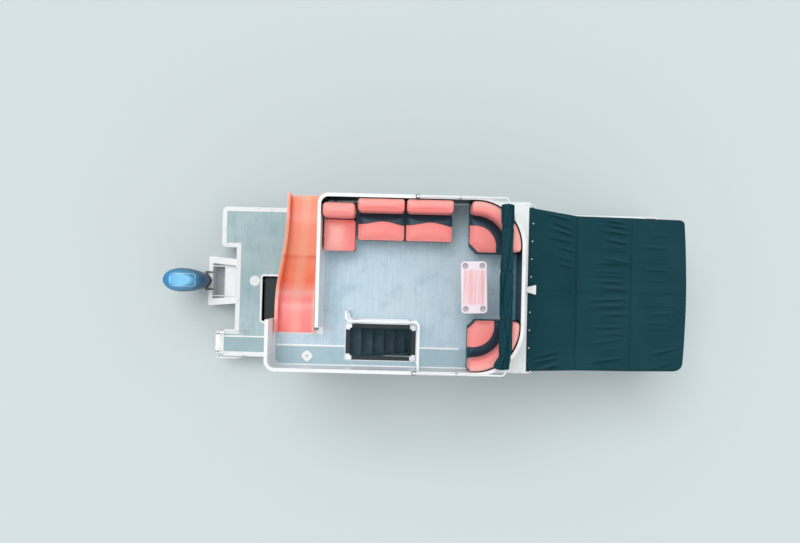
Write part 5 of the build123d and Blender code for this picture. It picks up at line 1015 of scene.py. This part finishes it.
# The band's section is a flat loop: place across the width, place through the thickness.
TIE_SECTION = np.array([(-0.5, -0.5), (0.5, -0.5), (0.5, 1.0), (-0.5, 1.0)])
COLOUR_WEBBING, COLOUR_RIB = "08262E", "134450"
webbing, tree, shader = finish("teal polyester webbing", Roughness=0.8, Specular_IOR_Level=0.2)
place = add(tree, "TexCoord").outputs["Object"]
fine = add(tree, "Mapping", {0: place, "Scale": (1000 / RIB_MM,) * 3})
ribs = add(tree, "TexWave", {
    "Vector": fine.outputs[0], "Scale": 0.5, "Distortion": 0.3,
}, bands_direction="Y")
mixed = add(tree, "Mix", {
    0: ribs.outputs["Fac"], 6: linear(COLOUR_WEBBING), 7: linear(COLOUR_RIB),
}, data_type="RGBA")
tree.links.new(mixed.outputs[2], shader.inputs["Base Color"])
bump = add(tree, "Bump", {"Height": ribs.outputs["Fac"], "Strength": 0.3, "Distance": 0.0006})
tree.links.new(bump.outputs[0], shader.inputs["Normal"])
for number, tie in enumerate(ROLL_TIES, 1):
    ring = rows[np.argmin(np.abs(roll_y[:, 0] - tie))]
    away = ring - ring.mean(axis=0)
    away[:, 1] = 0
    away /= np.linalg.norm(away, axis=1)[:, None]
    band_rows = ring[:, None] + away[:, None] * (TIE_SECTION[:, 1] * TIE_THICK)[None, :, None]
    band_rows[:, :, 1] = tie + TIE_SECTION[:, 0] * TIE_WIDTH
    band_rows = np.concatenate([band_rows, band_rows[:1]])
    band = grid_mesh(f"sun_top_tie_{number}", band_rows, capped=False)
    band.data.materials.append(webbing)
    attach(band, "bimini")

# Bow canopy: one sheet of the same acrylic, sewn of two widths down the middle, with pockets for its bows.
# It is snapped to the upper deck's edge, sags between the bows, and their pull draws long creases in it.
# Stations: X, top of the sheet there. The middle three are the bows.
CANOPY_STATIONS = [(0.955, 2.6165), (1.710, 2.600), (2.560, 2.500), (3.380, 2.310), (3.460, 2.2905)]
CANOPY_SAGS = [0.070, 0.036, 0.026, 0.0]
CANOPY_FLARE = (0.115, 0.029)
CANOPY_BULGE = 0.060
CANOPY_CORNERS = (0.070, 0.150)
CANOPY_EDGE_DROP, CANOPY_EDGE_WIDTH, CANOPY_AFT_EASE = 0.045, 0.060, 0.1
CANOPY_THICK, CANOPY_LOWER = 0.0012, 0.001
CANOPY_MIDDLE_SEAM = 0.02
POCKET_WIDTH, POCKET_STITCH = 0.045, 0.012
RIDGE_RISE, RIDGE_WIDTH = 0.005, 0.016
BOW_CLEAR = 0.014
# Grid lines are closer where the sheet turns down at its sides and where it bends over a bow.
EDGE_LINES = np.array([0.001, 0.0035, 0.007, 0.011, 0.016, 0.022])
BOW_LINES = np.array([-0.05, -0.032, -0.020, -0.011, -0.004, 0.004, 0.011, 0.020, 0.032, 0.05])
# Groups of parallel creases: from and to X, from and to Y as shares of the half width, slant, number, depth.
CREASES = [
    (1.98, 2.55, 0.93, 0.42, 0.06, 7, 0.012), (1.84, 2.55, 0.36, 0.02, 0.00, 6, 0.011),
    (1.80, 2.54, -0.05, -0.50, -0.04, 7, 0.010), (1.74, 2.50, -0.58, -0.86, -0.12, 3, 0.010),
    (2.64, 3.20, 0.75, 0.15, 0.00, 5, 0.006), (2.62, 3.30, -0.08, -0.45, -0.02, 5, 0.007),
    (1.14, 1.69, 0.95, 0.62, 0.12, 5, 0.014), (1.30, 1.70, 0.52, 0.30, 0.08, 3, 0.010),
    (1.00, 1.50, -0.78, -0.97, -0.14, 4, 0.013), (2.70, 3.34, -0.70, -0.90, -0.14, 2, 0.009),
]
# All depths are times CREASE_GAIN, and a crease as deep as CREASE_SPAN gets the full painted shade in its
# valley and painted highlight on its ridge.
CREASE_GAIN, CREASE_SPAN = 1.3, 0.011
CREASE_WIDTH, CREASE_SPREAD = 0.013, 0.012
crease_dice = np.random.default_rng(11)

canopy_low, canopy_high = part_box("bow_canopy")
stations_x, stations_z = np.array(CANOPY_STATIONS).T
bows_x = stations_x[1:4]
canopy_port, canopy_starboard = canopy_high.y - CANOPY_FLARE[0], canopy_low.y + CANOPY_FLARE[1]
canopy_mid, canopy_half = (canopy_port + canopy_starboard) / 2, (canopy_port - canopy_starboard) / 2
arc_r = (canopy_half ** 2 + CANOPY_BULGE ** 2) / (2 * CANOPY_BULGE)
across = np.sort(np.concatenate([np.linspace(-1, 1, 231), EDGE_LINES - 1, 1 - EDGE_LINES]))
# The fore edge is a long arc, rounded off at both corners by arcs that touch it and the sides.
front_y = canopy_mid + canopy_half * across
front_x = canopy_high.x - arc_r + np.sqrt(arc_r ** 2 - (front_y - canopy_mid) ** 2)
for side, corner_r in zip((1, -1), CANOPY_CORNERS):
    centre_y = canopy_half - corner_r
    centre_x = canopy_high.x - arc_r + math.sqrt((arc_r - corner_r) ** 2 - centre_y ** 2)
    reach = side * (front_y - canopy_mid)
    turned = reach > centre_y * arc_r / (arc_r - corner_r)
    rounded = centre_x + np.sqrt(np.clip(corner_r ** 2 - (reach - centre_y) ** 2, 0, None))
    front_x = np.where(turned, rounded, front_x)
near_bows = [bow + BOW_LINES for bow in bows_x[:2]]
rows_x = np.sort(np.concatenate([np.linspace(stations_x[0], canopy_high.x, 150), *near_bows]))
# Forward of the second bow the rows are drawn in to end on the rounded fore edge.
settled = np.clip((rows_x - bows_x[1]) / (canopy_high.x - bows_x[1]), 0, 1)[:, None]
sheet_x = rows_x[:, None] + (front_x - canopy_high.x)[None, :] * settled
flare = np.clip((bows_x[0] - sheet_x) / (bows_x[0] - stations_x[0]), 0, 1)
share_y = np.broadcast_to(across, sheet_x.shape)
flare = flare * np.where(share_y > 0, CANOPY_FLARE[0], -CANOPY_FLARE[1])
sheet_y = canopy_mid + canopy_half * share_y + flare * np.abs(share_y)
# Height: straight between the stations, less the sag, a parabola along and the root of a cosine across.
span = np.searchsorted(stations_x, sheet_x, side="right").clip(1, len(stations_x) - 1)
local = np.clip((sheet_x - stations_x[span - 1]) / (stations_x[span] - stations_x[span - 1]), 0, 1)
depth = np.array(CANOPY_SAGS)[np.minimum(span - 1, 3)]
slack = 4 * local * (1 - local)
sheet_z = np.interp(sheet_x, stations_x, stations_z) - depth * slack * np.cos(share_y * np.pi / 2) ** 0.5
# Each crease is a bell shaped valley with a lower ridge beside it, narrow at its bow and wider away from it.
creasing = np.zeros_like(sheet_z)
for x0, x1, y0, y1, slant, count, deep in CREASES:
    for at in np.linspace(y0, y1, count) + crease_dice.uniform(-0.03, 0.03, count):
        begin = x0 + crease_dice.uniform(-0.12, 0.28) * (x1 - x0)
        stop = x1 - crease_dice.uniform(0, 0.12) * (x1 - x0)
        share = crease_dice.uniform(0.3, 1.15)
        way = np.clip((sheet_x - begin) / (stop - begin), 0, 1)
        line_y = canopy_mid + canopy_half * at + slant * (1 - way)
        fold = (sheet_y - line_y) / (CREASE_WIDTH + CREASE_SPREAD * (1 - way))
        shape = np.exp(-fold ** 2) - 0.55 * np.exp(-(fold - 1.9) ** 2)
        creasing -= share * CREASE_GAIN * deep * np.sin(np.pi * way ** 1.6) * shape
# The edges turn down: the sides as a square over the edge's width, the fore end from just past the last bow.
out_y = canopy_half * (1 - np.abs(share_y))
from_edge = np.minimum(out_y, np.abs(front_x - sheet_x))
past_bow = (sheet_x - bows_x[2] - BOW_CLEAR) / (canopy_high.x - bows_x[2] - BOW_CLEAR)
past_bow = np.clip(past_bow, 0, 1) ** 1.5
turned_down = np.maximum(np.clip(1 - out_y / CANOPY_EDGE_WIDTH, 0, 1) ** 2, past_bow * 0.8)
aft_edge = np.clip((sheet_x - stations_x[0]) / CANOPY_AFT_EASE, 0, 1)
sheet_z = sheet_z + creasing - CANOPY_EDGE_DROP * turned_down * aft_edge
ridge = RIDGE_RISE * np.exp(-((sheet_x - bows_x[:2, None, None]) / RIDGE_WIDTH) ** 2).sum(axis=0)
sheet_z = np.maximum(sheet_z + ridge * np.clip(1 - turned_down * 2, 0, 1), canopy_low.z - 0.02)
centre_line = np.abs(sheet_y - canopy_mid - CANOPY_MIDDLE_SEAM) + HEM_WIDTH * 0.5
pockets = [np.abs(sheet_x - bow + POCKET_WIDTH / 2) + POCKET_STITCH for bow in bows_x[:2]]
hem = np.minimum.reduce([from_edge, np.abs(sheet_x - stations_x[0]), centre_line, *pockets])
rows = np.stack([sheet_x, sheet_y, sheet_z - CANOPY_LOWER], axis=-1)
canopy = grid_mesh("bow_canopy_sheet", rows, closed=False, capped=False)
# Painted shade in the creases' valleys and a painted highlight on their ridges.
mark(canopy, tone=1.0, hem=hem.ravel(), fold=np.clip(creasing / CREASE_SPAN, -1, 1).ravel())
thick = canopy.modifiers.new("thickness", "SOLIDIFY")
thick.thickness = CANOPY_THICK
thick.offset = -1
canopy.data.materials.append(acrylic)
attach(canopy, "root")
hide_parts("bow_canopy")

# Snaps along the canopy's aft edge: white nylon caps, pressed through the cloth on to studs in the rim.
# Small glossy domes about 27 cm apart, where the deck lamp leaves room, that show as a row of white dots.
# The lamp's housing and the seam strips of the deck are of the same nylon.
SNAP_FROM, SNAP_TO, SNAP_COUNT = (1.025, 0.973), (0.994, -0.909), 8
SNAP_UNDER_LAMP = 4
SNAP_R, SNAP_RISE, SNAP_SUNK = 0.011, 0.007, 0.004
white_nylon, tree, shader = finish("white moulded nylon", "FEFFFE", Roughness=0.3)
place = add(tree, "TexCoord").outputs["Object"]
spark = add(tree, "TexNoise", {"Vector": place, "Scale": 1000 / SPARK_MM, "Detail": 2.0})
bump = add(tree, "Bump", {"Height": spark.outputs[0], "Strength": 0.2, "Distance": 0.0003})
tree.links.new(bump.outputs[0], shader.inputs["Normal"])
centres = np.delete(np.linspace(SNAP_FROM, SNAP_TO, SNAP_COUNT), SNAP_UNDER_LAMP, axis=0)
seats = on_surface(canopy, np.column_stack([centres, np.full(len(centres), canopy_high.z)]))
turns = np.linspace(0, 2 * np.pi, 14, endpoint=False)
rise = np.radians([0, 0, 30, 60, 86])
lifts = np.array([-SNAP_SUNK, 0, 0, 0, 0]) + SNAP_RISE * np.sin(rise)
snap_r = SNAP_R * np.cos(rise)[:, None]
lifts = np.broadcast_to(lifts[:, None], (len(rise), len(turns)))
# A dome: a quarter circle in section, turned round its middle, on a short straight foot.
dome = np.stack([snap_r * np.cos(turns), snap_r * np.sin(turns), lifts], axis=-1)
snap_meshes = [grid_mesh(f"snap_{i}", dome + seat) for i, seat in enumerate(seats)]


def join(name, parts):
    """Makes one piece of several, with the first one's settings."""
    bpy.ops.object.select_all(action="DESELECT")
    for part in parts:
        part.select_set(True)
    scene.view_layers[0].objects.active = parts[0]
    bpy.ops.object.join()
    parts[0].name = parts[0].data.name = name
    return parts[0]


snaps = join("canopy_snaps", snap_meshes)
snaps.data.materials.append(white_nylon)
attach(snaps, "root")
paint(white_nylon, "deck_lamp", "deck_seam_strips")

# Corner hooks: at each end of the canopy's aft edge a moulded white hook on the deck holds a black grommet.
# Each hook is a bent rod that thins to its tip, and the grommet is a ring pressed into the cloth.
HOOK_R, HOOK_TAPER = 0.009, (1.1, 0.6)
HOOK_LINES = {
    "port": [
        (0.900, 1.262, 2.616), (0.960, 1.266, 2.622), (1.010, 1.256, 2.622), (1.045, 1.228, 2.617),
        (1.050, 1.206, 2.611),
    ],
    "starboard": [
        (0.870, -1.275, 2.616), (0.935, -1.283, 2.622), (0.985, -1.284, 2.622), (1.020, -1.268, 2.619),
        (1.028, -1.248, 2.612),
    ],
}
GROMMET_R, GROMMET_ROD, GROMMET_BACK = 0.016, 0.006, 0.030
for word, points in HOOK_LINES.items():
    way = np.linspace(0, len(points) - 1, 33)
    points = np.array(points)
    line = np.column_stack([np.interp(way, np.arange(len(points)), points[:, axis]) for axis in range(3)])
    # Each pass moves every point half way to the middle of its two neighbours, which rounds the bends.
    for _ in range(20):
        line[1:-1] = (line[:-2] + 2 * line[1:-1] + line[2:]) / 4
    hook = tube(f"canopy_hook_{word}", line, HOOK_R, sides=12, scale=np.linspace(*HOOK_TAPER, len(line)))
    hook.data.materials.append(white_nylon)
    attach(hook, "root")
    centre = on_surface(canopy, [line[-1] - (GROMMET_BACK, 0.0, 0.0)])[0] + (0, 0, GROMMET_ROD * 0.3)
    turns = np.linspace(0, 2 * np.pi, 25)[:-1]
    ring = centre + np.column_stack(
        [GROMMET_R * np.cos(turns), GROMMET_R * np.sin(turns), np.zeros(len(turns))],
    )
    grommet = tube(f"canopy_grommet_{word}", ring, GROMMET_ROD, sides=8, closed=True)
    grommet.data.materials.append(nylon)
    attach(grommet, "root")

# Outboard, mid section: cast aluminium clamp, swivel bracket and leg in dark marine enamel.
# The enamel is glossy and shows paler where knocks have chipped it.
CHIP_MM = 60.0
COLOUR_ENAMEL, COLOUR_CHIP = "33434C", "6E7E86"
enamel, tree, shader = finish("dark marine enamel", Roughness=0.32, Coat_Weight=0.3, Coat_Roughness=0.1)
place = add(tree, "TexCoord").outputs["Object"]
chips = add(tree, "TexNoise", {"Vector": place, "Scale": 1000 / CHIP_MM, "Detail": 8.0, "Roughness": 0.7})
chipped = add(tree, "MapRange", {0: chips.outputs[0], 1: 0.62, 2: 0.7, 3: 0.0, 4: 0.6})
mixed = add(tree, "Mix", {
    0: chipped.outputs[0], 6: linear(COLOUR_ENAMEL), 7: linear(COLOUR_CHIP),
}, data_type="RGBA")
tree.links.new(mixed.outputs[2], shader.inputs["Base Color"])
paint(enamel, "outboard_clamp_bracket", "outboard_swivel_bracket", "outboard_leg")

# Outboard, cowl: moulded plastic in blue metallic enamel under a clear coat that spray has dulled.
# Its crown is painted paler as a highlight, its aft end is a stronger blue, its flanks are painted darker
# downwards as shade, and a pale pinstripe runs round its top.
FLAKE_MM = 4.0
# Pairs: where the change of colour begins and where it ends.
CROWN_Z, AFT_X, FLANK_Z = (1.21, 1.25), (-4.60, -4.93), (1.225, 1.03)
STRIPE_ABOVE_Z = 1.0
COWL_STRIPE_MIDDLE, COWL_STRIPE_HALF, COWL_STRIPE_R = (-4.585, 0.0), (0.205, 0.105), 0.05
COWL_STRIPE_WIDTH = 0.010
COLOUR_FLAKE, COLOUR_COWL, COLOUR_STRIPE = "55AEDC", "3A92C6", "EAF8FD"
COLOUR_CROWN_HIGHLIGHT, COLOUR_AFT, COLOUR_FLANK_SHADE = "9FDCF6", "1A9BDC", "124A6C"
metallic, tree, shader = finish(
    "clear coated metallic enamel", Metallic=0.45, Roughness=0.5, Coat_Weight=0.5, Coat_Roughness=0.45,
)
place = add(tree, "TexCoord").outputs["Object"]
flakes = add(tree, "TexVoronoi", {"Vector": place, "Scale": 1000 / FLAKE_MM})
bright = add(tree, "MapRange", {0: flakes.outputs["Distance"], 1: 0.0, 2: 0.8, 3: 0.0, 4: 1.0})
mixed = add(tree, "Mix", {
    0: bright.outputs[0], 6: linear(COLOUR_FLAKE), 7: linear(COLOUR_COWL),
}, data_type="RGBA")
split = add(tree, "SeparateXYZ", {0: place})
# Painted highlight: the crown is paler.
crown = add(tree, "MapRange", {
    0: split.outputs["Z"], 1: CROWN_Z[0], 2: CROWN_Z[1], 3: 0.0, 4: 0.4,
}, interpolation_type="SMOOTHSTEP")
mixed = add(tree, "Mix", {
    0: crown.outputs[0], 6: mixed.outputs[2], 7: linear(COLOUR_CROWN_HIGHLIGHT),
}, data_type="RGBA")
aft = add(tree, "MapRange", {
    0: split.outputs["X"], 1: AFT_X[0], 2: AFT_X[1], 3: 0.0, 4: 0.9,
}, interpolation_type="SMOOTHSTEP")
mixed = add(tree, "Mix", {0: aft.outputs[0], 6: mixed.outputs[2], 7: linear(COLOUR_AFT)}, data_type="RGBA")
# Painted shade: the flanks darken downwards.
low = add(tree, "MapRange", {
    0: split.outputs["Z"], 1: FLANK_Z[0], 2: FLANK_Z[1], 3: 0.0, 4: 1.0,
}, interpolation_type="SMOOTHSTEP")
mixed = add(tree, "Mix", {
    0: low.outputs[0], 6: mixed.outputs[2], 7: linear(COLOUR_FLANK_SHADE),
}, data_type="RGBA")
# The pinstripe lies where the distance to a rounded rectangle in plan is nearly 0.
beyond = []
for axis, middle, half in zip("XY", COWL_STRIPE_MIDDLE, COWL_STRIPE_HALF):
    off = add(tree, "Math", {0: split.outputs[axis], 1: middle}, operation="SUBTRACT")
    off = add(tree, "Math", {0: off.outputs[0]}, operation="ABSOLUTE")
    off = add(tree, "Math", {0: off.outputs[0], 1: half - COWL_STRIPE_R}, operation="SUBTRACT")
    beyond.append(add(tree, "Math", {0: off.outputs[0], 1: 0.0}, operation="MAXIMUM").outputs[0])
corner = add(tree, "CombineXYZ", {0: beyond[0], 1: beyond[1]})
corner = add(tree, "VectorMath", {0: corner.outputs[0]}, operation="LENGTH")
edge = add(tree, "Math", {0: corner.outputs["Value"], 1: COWL_STRIPE_R}, operation="SUBTRACT")
edge = add(tree, "Math", {0: edge.outputs[0]}, operation="ABSOLUTE")
stripe = add(tree, "MapRange", {
    0: edge.outputs[0], 1: COWL_STRIPE_WIDTH / 3, 2: COWL_STRIPE_WIDTH / 2, 3: 0.8, 4: 0.0,
})
topside = add(tree, "Math", {0: split.outputs["Z"], 1: STRIPE_ABOVE_Z}, operation="GREATER_THAN")
stripe = add(tree, "Math", {0: stripe.outputs[0], 1: topside.outputs[0]}, operation="MULTIPLY")
mixed = add(tree, "Mix", {
    0: stripe.outputs[0], 6: mixed.outputs[2], 7: linear(COLOUR_STRIPE),
}, data_type="RGBA")
tree.links.new(mixed.outputs[2], shader.inputs["Base Color"])
paint(metallic, "outboard_cowl")

# Lower lounges: three benches of the same foam and vinyl on moulded bases, below the upper deck.
# Each is two seat pads and two back pads. Lounge: from X, to X, side of the boat.
LOUNGES = [(1.5, 2.9, -1), (1.3, 2.9, 1), (-1.95, -0.5, 1)]
LOUNGE_SEAT, LOUNGE_BACK = (0.600, 0.933), (0.934, 1.083)
LOUNGE_SEAT_TOP = 0.95
LOUNGE_CORNERS, LOUNGE_WELT, SHADED_FADE = [0.04] * 4, (0.008, 0.03), 0.1
lounge_low, lounge_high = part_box("lounge_cushions")
lounge_parts = (("seat", LOUNGE_SEAT, LOUNGE_SEAT_TOP, 0.03), ("back", LOUNGE_BACK, lounge_high.z, 0.04))
for number, (x0, x1, side) in enumerate(LOUNGES, 1):
    halves = ((x0, (x0 + x1) / 2), ((x0 + x1) / 2, x1))
    for part, (y0, y1), top, edge in lounge_parts:
        for half_number, x_room in enumerate(halves, 1):
            a, b, c, d = x_room[0] + PAD_ROOM, x_room[1] - PAD_ROOM, y0 + PAD_ROOM, y1 - PAD_ROOM
            plan = rounded_plan([(a, c), (b, c), (b, d), (a, d)], LOUNGE_CORNERS) * (1, side)
            name = f"lounge_{number}_{part}_{half_number}"
            pad = plan_pad(name, plan, lounge_low.z + PAD_FOOT, top - PAD_HEAD, edge=edge)
            blow_up(pad, FIRM_PAD_CAP, kept_in(lounge_low.z, x_room), SHADED_VOXEL)
            mark(pad, seam=1.0, fade=SHADED_FADE)
            upholster(pad, "lounge_cushions")
            welt(f"lounge_{number}_{part}_welt_{half_number}", pad, plan, top, LOUNGE_WELT)

# Helm chair: a seat and a back of the same foam and vinyl, bolted to a swivel post.
# Part: X from and to, from the post, then Z from and to.
CHAIR_MIDDLE, CHAIR_HALF_WIDTH = (0.130, -0.775), 0.26
CHAIR_PARTS = [("seat", -0.12, 0.25, 0.86, 0.99), ("back", -0.26, -0.12, 0.86, 1.47)]
CHAIR_CORNERS, CHAIR_EDGE = [0.05] * 4, 0.035
for part, x0, x1, z0, z1 in CHAIR_PARTS:
    a, b = CHAIR_MIDDLE[0] + x0 + PAD_ROOM, CHAIR_MIDDLE[0] + x1 - PAD_ROOM
    c = CHAIR_MIDDLE[1] - CHAIR_HALF_WIDTH + PAD_ROOM
    d = CHAIR_MIDDLE[1] + CHAIR_HALF_WIDTH - PAD_ROOM
    plan = rounded_plan([(a, c), (b, c), (b, d), (a, d)], CHAIR_CORNERS)
    pad = plan_pad(f"helm_chair_{part}", plan, z0, z1 - PAD_HEAD, edge=CHAIR_EDGE)
    blow_up(pad, FIRM_PAD_CAP, kept_in(z0), SHADED_VOXEL)
    mark(pad, seam=1.0, fade=SHADED_FADE)
    upholster(pad, "helm_chair", body="helm_chair")
    welt(f"helm_chair_{part}_welt", pad, plan, z1, LOUNGE_WELT, body="helm_chair")
